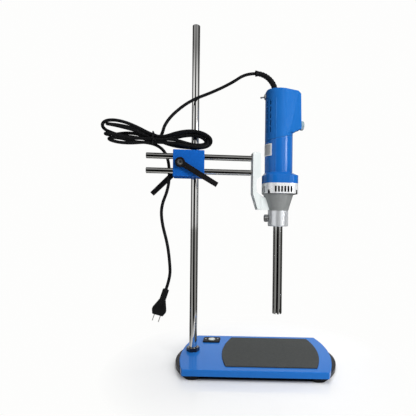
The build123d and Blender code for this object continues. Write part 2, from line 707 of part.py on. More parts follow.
# ------------------------------------------------------------------ nose cone, ring, housing
def nose_cone():
    outside = turned(
        [
            (0, NECK_BOTTOM),
            (NECK_RADIUS, NECK_BOTTOM),
            (NECK_RADIUS, NECK_TOP),
            (CONE_TOP_RADIUS, CONE_TOP),
            (0, CONE_TOP),
        ]
    )
    outside = fillet(outside.edges().group_by(Axis.Z)[0], NECK_EDGE)
    bearing_top = LOWER_BEARING_BASE + LOWER_BEARING_HEIGHT
    room = CONE_WALL / math.cos(math.radians(CONE_SLOPE))
    cavity_low = bearing_top + 1.0
    inside = turned(
        [
            (0, NECK_BOTTOM - 1),
            (SOCKET_RADIUS + CONTACT, NECK_BOTTOM - 1),
            (SOCKET_RADIUS + CONTACT, SOCKET_TOP),
            (SHAFT_PASSAGE, SOCKET_TOP),
            (SHAFT_PASSAGE, LOWER_BEARING_BASE),
            (BEARING_RADIUS + CONTACT, LOWER_BEARING_BASE),
            (BEARING_RADIUS + CONTACT, cavity_low),
            (cone_radius(cavity_low) - room, cavity_low),
            (CONE_TOP_RADIUS - room, CONE_TOP + 1),
            (0, CONE_TOP + 1),
        ]
    )
    cone = outside - inside
    cone -= rod_x(LOCK_SCREW_RADIUS + RUNNING, -NECK_RADIUS - 5, 0, 0, LOCK_HEIGHT)
    cone = on_axis(cone)
    for height in BRACKET_SCREW_HEIGHTS:
        end = AXIS_REACH - cone_radius(height) + BRACKET_SCREW_GRIP + 0.5
        cone -= head(rod_x(BRACKET_SCREW_RADIUS + CONTACT, BRACKET_LEFT, end, -ARM_OFFSET, height))
    return cone


def lock_screw():
    """Thumb screw that holds the tool in the socket, on the side facing the clamp."""
    start = -NECK_RADIUS - SEAT
    knob = rod_x(LOCK_HEAD_RADIUS, start - LOCK_HEAD_LENGTH, start)
    knob = chamfer(knob.edges().filter_by(GeomType.CIRCLE), 1.0)
    for index in range(LOCK_FLUTES):
        turn = Rot(index * 360 / LOCK_FLUTES, 0, 0)
        knob -= turn * rod_x(1.0, start - LOCK_HEAD_LENGTH - 1, start + 1, LOCK_HEAD_RADIUS + 0.3)
    shank = rod_x(LOCK_SCREW_RADIUS, start - 1, -SOCKET_RADIUS - 0.15)
    return on_axis(Pos(0, 0, LOCK_HEIGHT) * (knob + shank))


def corner_places(offset):
    return [(RING_SHIFT + sx * offset, sy * offset) for sx in (-1, 1) for sy in (-1, 1)]


def ring_outline(height):
    return Pos(RING_SHIFT, 0, height) * rounded_square(RING_SIDE, RING_CORNER)


def vent_ring():
    ring = extrude(ring_outline(RING_BASE), RING_HEIGHT)
    ring = chamfer(ring.faces().sort_by(Axis.Z)[0].edges(), RING_CHAMFER)
    ring -= rod_z(RING_BORE, RING_BASE + RING_FLOOR, RING_TOP + 1)
    ring -= rod_z(CONE_TOP_RADIUS - CONE_WALL, RING_BASE - 1, RING_BASE + RING_FLOOR + 1)
    half = SLOT_HEIGHT / 2
    for quarter in range(4):
        for index in range(SLOT_COUNT):
            x = (index - (SLOT_COUNT - 1) / 2) * SLOT_PITCH
            cut = slab(x - SLOT_WIDTH / 2, x + SLOT_WIDTH / 2, -RING_SIDE, 0, -half, half)
            ring -= Pos(RING_SHIFT, 0, SLOT_CENTRE) * Rot(0, 0, quarter * 90) * cut
    for x, y in corner_places(CORNER_POCKET_OFFSET):
        ring -= rod_z(CORNER_POCKET_RADIUS, RING_BASE - 1, RING_BASE + CORNER_POCKET_HEIGHT, x, y)
    for x, y in corner_places(CORNER_SCREW_OFFSET):
        ring -= rod_z(CORNER_SCREW_RADIUS + CONTACT, RING_BASE, RING_TOP + 1, x, y)
    return on_axis(ring)


def corner_screw(x, y):
    cap = socket_head(CORNER_HEAD_RADIUS, CORNER_HEAD_HEIGHT, CORNER_HEX)
    shank = rod_z(CORNER_SCREW_RADIUS, 0, RING_HEIGHT - CORNER_POCKET_HEIGHT + CORNER_SCREW_GRIP)
    screw = shank + Rot(180, 0, 0) * cap
    return on_axis(Pos(x, y, RING_BASE + CORNER_POCKET_HEIGHT) * screw)


def seam_block(low_side):
    """Large block on one side of the slanted seam plane."""
    size = 4 * TUBE_RADIUS
    lift = -size / 2 if low_side else size / 2 + SEAM_GAP
    block = Box(2 * size, 2 * size, size)
    return Pos(0, 0, SEAM_HEIGHT) * Rot(0, -SEAM_SLOPE, 0) * Pos(0, 0, lift) * block


def seam_groove():
    """Shadow line round the tube, just under the slanted seam."""
    size = 8 * TUBE_RADIUS
    band = Pos(0, 0, -SEAM_GROOVE / 2) * Box(size, size, SEAM_GROOVE)
    band = Pos(0, 0, SEAM_HEIGHT) * Rot(0, -SEAM_SLOPE, 0) * band
    reach = 2 * TUBE_RADIUS
    return band - rod_z(TUBE_RADIUS - SEAM_GROOVE_DEPTH, SEAM_HEIGHT - reach, SEAM_HEIGHT + reach)


def rib(low, high):
    """Flat moulded rib up both sides of the tube, near its front and back."""
    bars = []
    for side in (-1, 1):
        angle = side * (90 - RIB_ANGLE) - 180
        bar = slab(TUBE_RADIUS - 1.5, TUBE_RADIUS + RIB_HEIGHT, -RIB_WIDTH / 2, RIB_WIDTH / 2, low, high)
        bars.append(Rot(0, 0, angle) * bar)
    return bars


def motor_housing():
    collar = extrude(ring_outline(RING_TOP), COLLAR_TOP - RING_TOP)
    shoulder = loft([ring_outline(COLLAR_TOP), Pos(0, 0, SHOULDER_TOP) * Circle(TUBE_RADIUS)])
    tube = rod_z(TUBE_RADIUS, SHOULDER_TOP, SEAM_HEIGHT + TUBE_RADIUS)
    for bar in rib(SHOULDER_TOP - 2, SEAM_HEIGHT + TUBE_RADIUS):
        tube += bar
    tube = tube & seam_block(low_side=True)
    tube -= seam_groove()
    housing = collar + shoulder + tube
    housing -= rod_z(RING_BORE, RING_TOP - 1, COLLAR_TOP - 2)
    housing -= rod_z(TUBE_RADIUS - SHELL, COLLAR_TOP - 3, SEAM_HEIGHT + 2 * TUBE_RADIUS)
    for x, y in corner_places(CORNER_SCREW_OFFSET):
        housing -= rod_z(CORNER_SCREW_RADIUS + CONTACT, RING_TOP - 1, RING_TOP + CORNER_SCREW_GRIP + 0.5, x, y)
    return on_axis(housing)


def cover_side_outline():
    """Side view of the cover: rounded shoulder at the clamp side, box at the other."""
    left = -TUBE_RADIUS
    bottom = SEAM_HEIGHT - 2 * TUBE_RADIUS
    shoulder = COVER_SHOULDER
    corner = BOX_BASE_CORNER
    return make_face(
        [
            Line((left, bottom), (left, COVER_TOP - shoulder)),
            ThreePointArc(
                (left, COVER_TOP - shoulder),
                (left + 0.3 * shoulder, COVER_TOP - 0.3 * shoulder),
                (left + shoulder, COVER_TOP),
            ),
            Line((left + shoulder, COVER_TOP), (BOX_TOP_INNER, COVER_TOP)),
            Line((BOX_TOP_INNER, COVER_TOP), (BOX_REACH_HIGH, BOX_TOP_OUTER)),
            Line((BOX_REACH_HIGH, BOX_TOP_OUTER), (BOX_REACH_LOW, BOX_BASE_OUTER + corner)),
            ThreePointArc(
                (BOX_REACH_LOW, BOX_BASE_OUTER + corner),
                (BOX_REACH_LOW - 0.35 * corner, BOX_BASE_OUTER + 0.1 * corner),
                (BOX_REACH_LOW - 1.25 * corner, BOX_BASE_OUTER - 0.25 * corner),
            ),
            Line((BOX_REACH_LOW - 1.25 * corner, BOX_BASE_OUTER - 0.25 * corner), (TUBE_RADIUS, BOX_BASE_INNER)),
            Line((TUBE_RADIUS, BOX_BASE_INNER), (TUBE_RADIUS, bottom)),
            Line((TUBE_RADIUS, bottom), (left, bottom)),
        ]
    )


def box_side_depth(reach):
    """How far the box's slanted side stands from its middle plane, at a reach from the axis."""
    centre = (BOX_REACH_LOW - BOX_CORNER, BOX_HALF_WIDTH - BOX_CORNER)
    span = math.hypot(*centre)
    normal = math.atan2(centre[1], centre[0]) + math.acos((TUBE_RADIUS - BOX_CORNER) / span)
    return (TUBE_RADIUS - reach * math.cos(normal)) / math.sin(normal)


def facet_cutter(side):
    """Block outside the flat that is taken off the box's side at its outer top corner."""
    high = Vector(FACET_HIGH[0], side * box_side_depth(FACET_HIGH[0]), FACET_HIGH[1])
    low = Vector(FACET_LOW[0], side * box_side_depth(FACET_LOW[0]), FACET_LOW[1])
    depth = box_side_depth(BOX_REACH_HIGH) - FACET_DEPTH
    outer = Vector(BOX_REACH_HIGH, side * depth, BOX_TOP_OUTER)
    along = high - low
    outward = along.cross(outer - low)
    if outward.Y * side < 0:
        outward = outward * -1
    size = COVER_TOP - BOX_BASE_INNER
    frame = Plane(origin=low, x_dir=along, z_dir=outward)
    return frame * Pos(0, 0, size / 2) * Box(2 * size, 2 * size, size)


def teardrop(inset):
    """Section of the box: the tube's circle joined by tangents to two small outer corners."""
    corner = BOX_CORNER - min(inset, BOX_CORNER - 1)
    reach = BOX_REACH_LOW - inset
    half = BOX_HALF_WIDTH - inset
    circles = [Circle(TUBE_RADIUS - inset).edge()]
    for side in (-1, 1):
        circles.append((Pos(reach - corner, side * (half - corner)) * Circle(corner)).edge())
    return make_hull(circles)


def motor_cover():
    tube = rod_z(TUBE_RADIUS, SEAM_HEIGHT - TUBE_RADIUS, COVER_TOP)
    for bar in rib(SEAM_HEIGHT - TUBE_RADIUS, CAVITY_TOP):
        tube += bar
    box = Pos(0, 0, BOX_BASE_INNER - 2) * extrude(teardrop(0), COVER_TOP - BOX_BASE_INNER + 2)
    side = extrude(Plane.XZ * cover_side_outline(), 2 * TUBE_RADIUS, both=True)
    cover = (tube + box) & side & seam_block(low_side=False)
    top = cover.edges().filter_by(lambda edge: edge.center().Z > COVER_TOP - 0.01)
    cover = fillet(top, COVER_EDGE)
    for mirror_side in (-1, 1):
        cover -= facet_cutter(mirror_side)
    cavity = rod_z(TUBE_RADIUS - SHELL, SEAM_HEIGHT - 2 * TUBE_RADIUS, CAVITY_TOP)
    pocket_base = BOX_BASE_OUTER + SHELL
    cavity += Pos(0, 0, pocket_base) * extrude(teardrop(SHELL + 2), CAVITY_TOP - pocket_base)
    cover -= cavity
    cover -= rod_z(BEARING_RADIUS + CONTACT, UPPER_BEARING_BASE - 1, UPPER_BEARING_BASE + LOWER_BEARING_HEIGHT)
    cover -= rod_x(SWITCH_RADIUS + CONTACT, -TUBE_RADIUS - 5, SWITCH_DEPTH - TUBE_RADIUS, 0, SWITCH_HEIGHT)
    cover -= rod_x(DIAL_SHAFT_RADIUS + RUNNING, BOX_REACH_LOW - 12, BOX_REACH_LOW + 5, 0, DIAL_HEIGHT)
    for angle in VENT_ANGLES:
        for mirror_side in (-1, 1):
            for index in range(VENT_COUNT):
                low = VENT_BASE + index * VENT_PITCH
                half = VENT_WIDTH / 2
                cut = slab(TUBE_RADIUS - SHELL - 3, TUBE_RADIUS + 3, -half, half, low, low + VENT_HEIGHT)
                cover -= Rot(0, 0, mirror_side * (90 - angle) - 180) * cut
    return on_axis(cover)


def rating_plate():
    shell = rod_z(TUBE_RADIUS + CONTACT + RATING_THICKNESS, PLATE_BASE, PLATE_BASE + RATING_HEIGHT)
    shell -= rod_z(TUBE_RADIUS + CONTACT, PLATE_BASE - 1, PLATE_BASE + RATING_HEIGHT + 1)
    reach = 2 * TUBE_RADIUS
    half = math.radians(RATING_SPAN / 2)
    wedge = Polyline((0, 0), (reach, -reach * math.tan(half)), (reach, reach * math.tan(half)), close=True)
    sector = Pos(0, 0, PLATE_BASE) * extrude(make_face(wedge), RATING_HEIGHT)
    return on_axis(Rot(0, 0, 180 + 90 - RATING_ANGLE) * (sector & shell))


def switch_bushing():
    start = -TUBE_RADIUS - SWITCH_PROUD
    bush = rod_x(SWITCH_RADIUS, start, SWITCH_DEPTH - TUBE_RADIUS - 0.5)
    nut = Pos(-TUBE_RADIUS - 0.1, 0, 0) * Rot(0, -90, 0) * prism(SWITCH_NUT_FLATS, 0, SWITCH_NUT_HEIGHT)
    bush = bush + nut - rod_x(SWITCH_BORE, start - 1, start + 6)
    return on_axis(Pos(0, 0, SWITCH_HEIGHT) * bush)


def switch_toggle():
    reach = TOGGLE_SEAT + TOGGLE_LENGTH
    stem = (Align.CENTER, Align.CENTER, Align.MIN)
    bat = Pos(-reach, 0, 0) * Rot(0, 90, 0) * Cone(TOGGLE_TIP_RADIUS, TOGGLE_RADIUS, reach, align=stem)
    bat += Pos(-reach, 0, 0) * Sphere(TOGGLE_TIP_RADIUS)
    bat += Sphere(TOGGLE_BALL_RADIUS)
    pivot = Pos(TOGGLE_SEAT - SWITCH_PROUD - TUBE_RADIUS, 0, SWITCH_HEIGHT)
    return on_axis(pivot * Rot(0, -TOGGLE_TILT, 0) * bat)


def speed_dial():
    start = BOX_REACH_LOW + 0.1
    knob = rod_x(DIAL_RADIUS, start, start + DIAL_THICKNESS)
    knob = fillet(knob.edges().group_by(Axis.X)[-1], 2.5)
    knob += rod_x(DIAL_SHAFT_RADIUS, start - DIAL_SHAFT_LENGTH, start + 1)
    knob -= slab(start + DIAL_THICKNESS - 0.6, start + DIAL_THICKNESS + 1, -0.6, 0.6, 2.5, DIAL_RADIUS)
    return on_axis(Pos(0, 0, DIAL_HEIGHT) * knob)


# ------------------------------------------------------------------ motor inside and tool
def bearing(base):
    ring = rod_z(BEARING_RADIUS, base, base + LOWER_BEARING_HEIGHT)
    return on_axis(ring - rod_z(MOTOR_SHAFT_RADIUS + RUNNING, base - 1, base + LOWER_BEARING_HEIGHT + 1))


def field_core():
    core = rod_z(TUBE_RADIUS - SHELL - CONTACT, FIELD_BASE, FIELD_BASE + FIELD_HEIGHT)
    core -= rod_z(FIELD_BORE, FIELD_BASE - 1, FIELD_BASE + FIELD_HEIGHT + 1)
    return on_axis(core)


def armature():
    shaft_top = UPPER_BEARING_BASE + LOWER_BEARING_HEIGHT - 0.5
    shaft = rod_z(MOTOR_SHAFT_RADIUS, MOTOR_SHAFT_BOTTOM, shaft_top)
    core = rod_z(ARMATURE_RADIUS, FIELD_BASE, FIELD_BASE + FIELD_HEIGHT)
    commutator = rod_z(COMMUTATOR_RADIUS, COMMUTATOR_BASE, COMMUTATOR_BASE + COMMUTATOR_HEIGHT)
    return on_axis(shaft + core + commutator)


def cooling_fan():
    hub = rod_z(FAN_HUB_RADIUS, FAN_BASE, FAN_BASE + FAN_HEIGHT)
    fan = hub + rod_z(FAN_RADIUS, FAN_BASE + FAN_HEIGHT - 2, FAN_BASE + FAN_HEIGHT)
    for index in range(FAN_BLADES):
        half = FAN_BLADE_WIDTH / 2
        blade = slab(FAN_HUB_RADIUS - 1, FAN_RADIUS - 0.5, -half, half, FAN_BASE, FAN_BASE + FAN_HEIGHT - 1)
        fan += Rot(0, 0, index * 360 / FAN_BLADES) * blade
    return on_axis(fan - rod_z(MOTOR_SHAFT_RADIUS + CONTACT, FAN_BASE - 1, FAN_BASE + FAN_HEIGHT + 1))


def drive_coupling():
    sleeve = rod_z(COUPLING_RADIUS, COUPLING_BASE, COUPLING_BASE + COUPLING_LENGTH)
    sleeve -= rod_z(TOOL_SHAFT_RADIUS + CONTACT, COUPLING_BASE - 1, MOTOR_SHAFT_BOTTOM)
    sleeve -= rod_z(MOTOR_SHAFT_RADIUS + CONTACT, MOTOR_SHAFT_BOTTOM - 0.5, COUPLING_BASE + COUPLING_LENGTH + 1)
    return on_axis(sleeve)


def stator_tube():
    tube = rod_z(TOOL_RADIUS, TOOL_TIP, COLLAR_BASE + 1)
    tube += chamfer(rod_z(SOCKET_RADIUS, COLLAR_BASE, COLLAR_END).edges().group_by(Axis.Z)[-1], 1.0)
    tube = chamfer(tube.edges().group_by(Axis.Z)[0], 0.4)
    tube -= rod_z(TOOL_BORE, TOOL_TIP - 1, COLLAR_END + 1)
    half = STATOR_SLOT_WIDTH / 2
    for index in range(STATOR_SLOTS // 2):
        cut = slab(-TOOL_RADIUS - 1, TOOL_RADIUS + 1, -half, half, TOOL_TIP - 1, TOOL_TIP + STATOR_SLOT_HEIGHT)
        tube -= Rot(0, 0, (index + 0.5) * 360 / STATOR_SLOTS) * cut
    drain = rod_x(DRAIN_RADIUS, 0, TOOL_RADIUS + 2, 0, DRAIN_HEIGHT)
    return on_axis(tube - Rot(0, 0, DRAIN_ANGLE) * drain)


def tool_bearing(base):
    bush = rod_z(TOOL_BORE - CONTACT, base, base + TOOL_BEARING_LENGTH)
    bush -= rod_z(TOOL_SHAFT_RADIUS + RUNNING, base - 1, base + TOOL_BEARING_LENGTH + 1)
    return on_axis(bush)


def tool_shaft():
    return on_axis(rod_z(TOOL_SHAFT_RADIUS, TOOL_TIP + ROTOR_LIFT + 1.5, TOOL_SHAFT_TOP))


def rotor_head():
    base = TOOL_TIP + ROTOR_LIFT
    rotor = rod_z(ROTOR_HUB_RADIUS, base, base + ROTOR_HEIGHT)
    half = ROTOR_TOOTH_WIDTH / 2
    envelope = rod_z(ROTOR_RADIUS, base, base + ROTOR_HEIGHT)
    for index in range(ROTOR_TEETH // 2):
        bar = slab(-ROTOR_RADIUS, ROTOR_RADIUS, -half, half, base, base + ROTOR_HEIGHT)
        rotor += Rot(0, 0, index * 360 / ROTOR_TEETH) * bar
    rotor = rotor & envelope
    return on_axis(rotor - rod_z(TOOL_SHAFT_RADIUS + CONTACT, base + 1.4, base + ROTOR_HEIGHT + 1))


# ------------------------------------------------------------------ cord
def cable_boot():
    back = Vector(*TOP_RUN[0]) - Vector(*TOP_RUN[1])
    path = TangentArc(TOP_RUN[0], BOOT_ROOT, tangent=back)
    end = Plane(origin=path @ 0, z_dir=path % 0) * Circle(BOOT_END_RADIUS)
    root = Plane(origin=path @ 1, z_dir=path % 1) * Circle(BOOT_ROOT_RADIUS)
    boot = sweep([end, root], path=path, multisection=True)
    boot += extrude(Plane(origin=path @ 0, z_dir=path % 0) * Circle(BOOT_LIP_RADIUS), BOOT_LIP_LENGTH)
    boot += rod_z(BOOT_ROOT_RADIUS + 1.5, COVER_TOP, COVER_TOP + 3, BOOT_ROOT[0], BOOT_ROOT[1])
    below = slab(100, 250, -60, 60, COVER_TOP - 40, COVER_TOP)
    return head(boot - below)


def cord_hank():
    side = extrude(Plane.XZ * make_face(Spline(*HANK_OUTLINE, periodic=True)), HANK_DEPTH, both=True)
    plan = extrude(make_face(Spline(*HANK_PLAN, periodic=True)), HANK_DEPTH, both=True)
    return head(side & (Pos(0, 0, (WAIST_TOP + WAIST_BOTTOM) / 2) * plan))


def cord_tie():
    """Wire tie: a rounded loop round the hank's waist."""
    depth, height = HANK_BACK - HANK_FRONT, WAIST_TOP - WAIST_BOTTOM
    inner = RectangleRounded(depth + 2 * TIE_ROOM, height + 2 * TIE_ROOM, HANK_EDGE)
    grow = 2 * (TIE_ROOM + TIE_THICKNESS)
    outer = RectangleRounded(depth + grow, height + grow, HANK_EDGE + TIE_THICKNESS)
    loop = extrude(Plane.YZ * (outer - inner), TIE_WIDTH / 2, both=True)
    middle = Pos(WAIST_X, (HANK_FRONT + HANK_BACK) / 2, (WAIST_TOP + WAIST_BOTTOM) / 2)
    return head(middle * loop)


def plug_frame():
    """Plug axis as a location: origin at the cord's end, -Z along the plug."""
    start, end = Vector(*DROP[-2]), Vector(*DROP[-1])
    run = end - start
    tilt = math.degrees(math.atan2(-run.X, -run.Z))
    return Pos(*DROP[-1]) * Rot(0, tilt, 0)


def plug_body():
    neck = rod_z(PLUG_NECK_RADIUS, -PLUG_NECK_LENGTH, 0)
    neck = chamfer(neck.edges().group_by(Axis.Z)[-1], 1.0)
    shoulder = -PLUG_NECK_LENGTH
    low = -PLUG_LENGTH
    half = PLUG_WIDTH / 2
    outline = Polyline(
        (-PLUG_NECK_RADIUS, shoulder + 4),
        (PLUG_NECK_RADIUS, shoulder + 4),
        (half, low + 10),
        (half - 4, low),
        (-half + 4, low),
        (-half, low + 10),
        close=True,
    )
    body = extrude(Plane.XZ * make_face(outline), PLUG_DEPTH / 2, both=True)
    body = fillet(body.edges().filter_by(Axis.Y), 3.0)
    body = fillet(body.edges().filter_by(Axis.Y, reverse=True), 2.0)
    plug = neck + body
    for side in (-1, 1):
        plug -= blade_box(side, CONTACT)
    return head(plug_frame() * plug)


def blade_box(side, room):
    x = side * BLADE_SPACING / 2
    half_t, half_w = BLADE_THICKNESS / 2 + room, BLADE_WIDTH / 2 + room
    low = -PLUG_LENGTH - BLADE_LENGTH
    high = -PLUG_LENGTH + BLADE_ROOT + room
    return slab(x - half_t, x + half_t, -half_w, half_w, low, high)


def plug_blade(side):
    return head(plug_frame() * blade_box(side, 0))


# ------------------------------------------------------------------ assembly
def build_nodes():
    front_handle, front_screw = lever_parts(FRONT_LEVER_ANGLE, True)
    rear_handle, rear_screw = lever_parts(REAR_LEVER_ANGLE, False)
    nodes = {
        "base_plate": base_plate(),
        "left_foot_rail": foot_rail(-1),
        "right_foot_rail": foot_rail(1),
        "work_mat": work_mat(),
        "level_holder": level_holder(),
        "level_vial": level_vial(),
        "stand_rod": stand_rod(),
        "rod_jam_nut": rod_jam_nut(),
        "rod_bush": rod_bush(),
        "clamp_block": clamp_block(),
        "front_lever": front_handle,
        "front_lever_screw": front_screw,
        "rear_lever": rear_handle,
        "rear_lever_screw": rear_screw,
        "lower_arm_rod": arm_rod(ARM_HEIGHTS[0]),
        "upper_arm_rod": arm_rod(ARM_HEIGHTS[1]),
        "motor_bracket": motor_bracket(),
        "nose_cone": nose_cone(),
        "lock_screw": lock_screw(),
        "vent_ring": vent_ring(),
        "motor_housing": motor_housing(),
        "motor_cover": motor_cover(),
        "rating_plate": rating_plate(),
        "switch_bushing": switch_bushing(),
        "switch_toggle": switch_toggle(),
        "speed_dial": speed_dial(),
        "lower_motor_bearing": bearing(LOWER_BEARING_BASE),
        "upper_motor_bearing": bearing(UPPER_BEARING_BASE),
        "field_core": field_core(),
        "armature": armature(),
        "cooling_fan": cooling_fan(),
        "drive_coupling": drive_coupling(),
        "stator_tube": stator_tube(),
        "lower_tool_bearing": tool_bearing(TOOL_BEARING_BASES[0]),
        "upper_tool_bearing": tool_bearing(TOOL_BEARING_BASES[1]),
        "tool_shaft": tool_shaft(),
        "rotor_head": rotor_head(),
        "cable_boot": cable_boot(),
        "cord_top_run": head(cord_tube("cord_top_run", TOP_RUN)),
        "cord_hank": cord_hank(),
        "cord_tie": cord_tie(),
        "cord_drop": head(cord_tube("cord_drop", DROP)),
        "plug_body": plug_body(),
    }
    for index, (x, y) in enumerate(foot_screw_places(), start=1):
        nodes[f"foot_screw_{index}"] = foot_screw(x, y)
    for index, side in enumerate((-1, 1), start=1):
        nodes[f"level_screw_{index}"] = level_screw(side)
        nodes[f"plug_blade_{index}"] = plug_blade(side)
    for index, height in enumerate(BRACKET_SCREW_HEIGHTS, start=1):
        nodes[f"bracket_screw_{index}"] = bracket_screw(height)
    for index, height in enumerate(ARM_HEIGHTS, start=1):
        nodes[f"arm_grub_screw_{index}"] = arm_grub_screw(height)
    for index, (x, y) in enumerate(corner_places(CORNER_SCREW_OFFSET), start=1):
        nodes[f"corner_screw_{index}"] = corner_screw(x, y)
    return nodes


os.makedirs("parts", exist_ok=True)
for name, shape in build_nodes().items():
    export_step(shape, f"parts/{name}.step")
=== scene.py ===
# %% [markdown]
# # A rotor-stator homogenizer on its stand
# The machine is a high-speed motor that hangs from a rod stand and drives a slim
# stainless tool into a beaker. The metal and plastic forms come ready from the packed
# model. This lesson gives them their finishes, and adds what a maker would add by hand:
# the mains lead, its ribbed boot, the twisted ends of the wire tie and the eyelet of the
# tool tube.

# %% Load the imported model
import math
import bpy
from mathutils import Matrix, Vector


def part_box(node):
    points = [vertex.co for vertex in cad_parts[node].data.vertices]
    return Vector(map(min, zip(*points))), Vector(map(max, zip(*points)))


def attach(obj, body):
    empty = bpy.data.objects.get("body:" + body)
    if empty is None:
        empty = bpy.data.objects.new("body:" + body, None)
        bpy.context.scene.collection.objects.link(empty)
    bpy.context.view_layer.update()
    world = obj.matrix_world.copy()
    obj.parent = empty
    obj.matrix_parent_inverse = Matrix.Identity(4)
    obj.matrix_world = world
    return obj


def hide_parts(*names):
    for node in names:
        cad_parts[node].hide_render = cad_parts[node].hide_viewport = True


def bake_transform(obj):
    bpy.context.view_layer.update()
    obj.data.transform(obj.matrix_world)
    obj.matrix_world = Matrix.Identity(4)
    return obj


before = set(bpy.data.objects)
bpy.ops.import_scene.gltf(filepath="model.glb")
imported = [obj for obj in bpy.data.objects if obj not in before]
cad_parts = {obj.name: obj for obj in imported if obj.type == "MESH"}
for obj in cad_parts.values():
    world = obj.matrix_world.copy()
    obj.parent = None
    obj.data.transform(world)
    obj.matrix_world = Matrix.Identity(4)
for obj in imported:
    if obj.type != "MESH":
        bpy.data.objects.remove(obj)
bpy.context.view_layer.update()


# %% A clean start for operators
def deselect_all():
    if bpy.context.object and bpy.context.object.mode != "OBJECT":
        bpy.ops.object.mode_set(mode="OBJECT")
    bpy.ops.object.select_all(action="DESELECT")


deselect_all()

# %% [markdown]
# ## The head frame
# All that hangs on the clamp is turned ten degrees about the stand rod. Points on it are
# easier to give along the arms, in millimetres, so one helper turns them into the row
# frame, in metres. The motor's axis is parallel to the rod.

# %% Places in the head frame
HEAD_ANGLE = math.radians(10)
HEAD_SWING = Matrix.Rotation(HEAD_ANGLE, 4, "Z")
MOTOR_AXIS = (176.0, -22.0)


def in_head(x, y, z):
    return HEAD_SWING @ (Vector((x, y, z)) / 1000)


motor_axis_foot = in_head(*MOTOR_AXIS, 0)
print("motor axis, mm:", [round(v * 1000, 1) for v in motor_axis_foot])

# %% [markdown]
# ## Camera
# A moderately long view from the front, a little above the bench: the lens is level, and
# a small shift keeps the whole stand in the frame without tilting the uprights.

# %% Camera at the product view
PICTURE_SIDE = 416.0                     # px
FOCAL_LENGTH = 379.2167                  # px
PRINCIPAL_POINT = (247.236, 213.779)     # px
bpy.ops.object.camera_add(
    location=(0.1322055, -0.8007875, 0.3107634),
    rotation=(math.radians(90), math.radians(-0.61), math.radians(1.4546)),
)
camera = bpy.context.object
camera.name = "product_camera"
camera.data.sensor_width = 36
camera.data.lens = FOCAL_LENGTH / PICTURE_SIDE * 36
camera.data.shift_x = (PICTURE_SIDE / 2 - PRINCIPAL_POINT[0]) / PICTURE_SIDE
camera.data.shift_y = (PRINCIPAL_POINT[1] - PICTURE_SIDE / 2) / PICTURE_SIDE
camera.data.clip_start = 0.02
camera.data.clip_end = 40
bpy.context.scene.camera = camera
bpy.context.scene.view_settings.view_transform = "Standard"
print("lens, mm:", round(camera.data.lens, 2))

# %% [markdown]
# ## The mains lead
# One length of black round lead leaves the boot on the motor's shoulder, comes down in
# front of the rod to a hank tied at its waist, and drops behind the arms to the plug. A
# NURBS curve suits it, because it bends smoothly near its control points and needs only
# a few of them. The hank's turns go left and right of the tie in turn, each in its own
# layer, so the strands lie beside each other and never in each other.

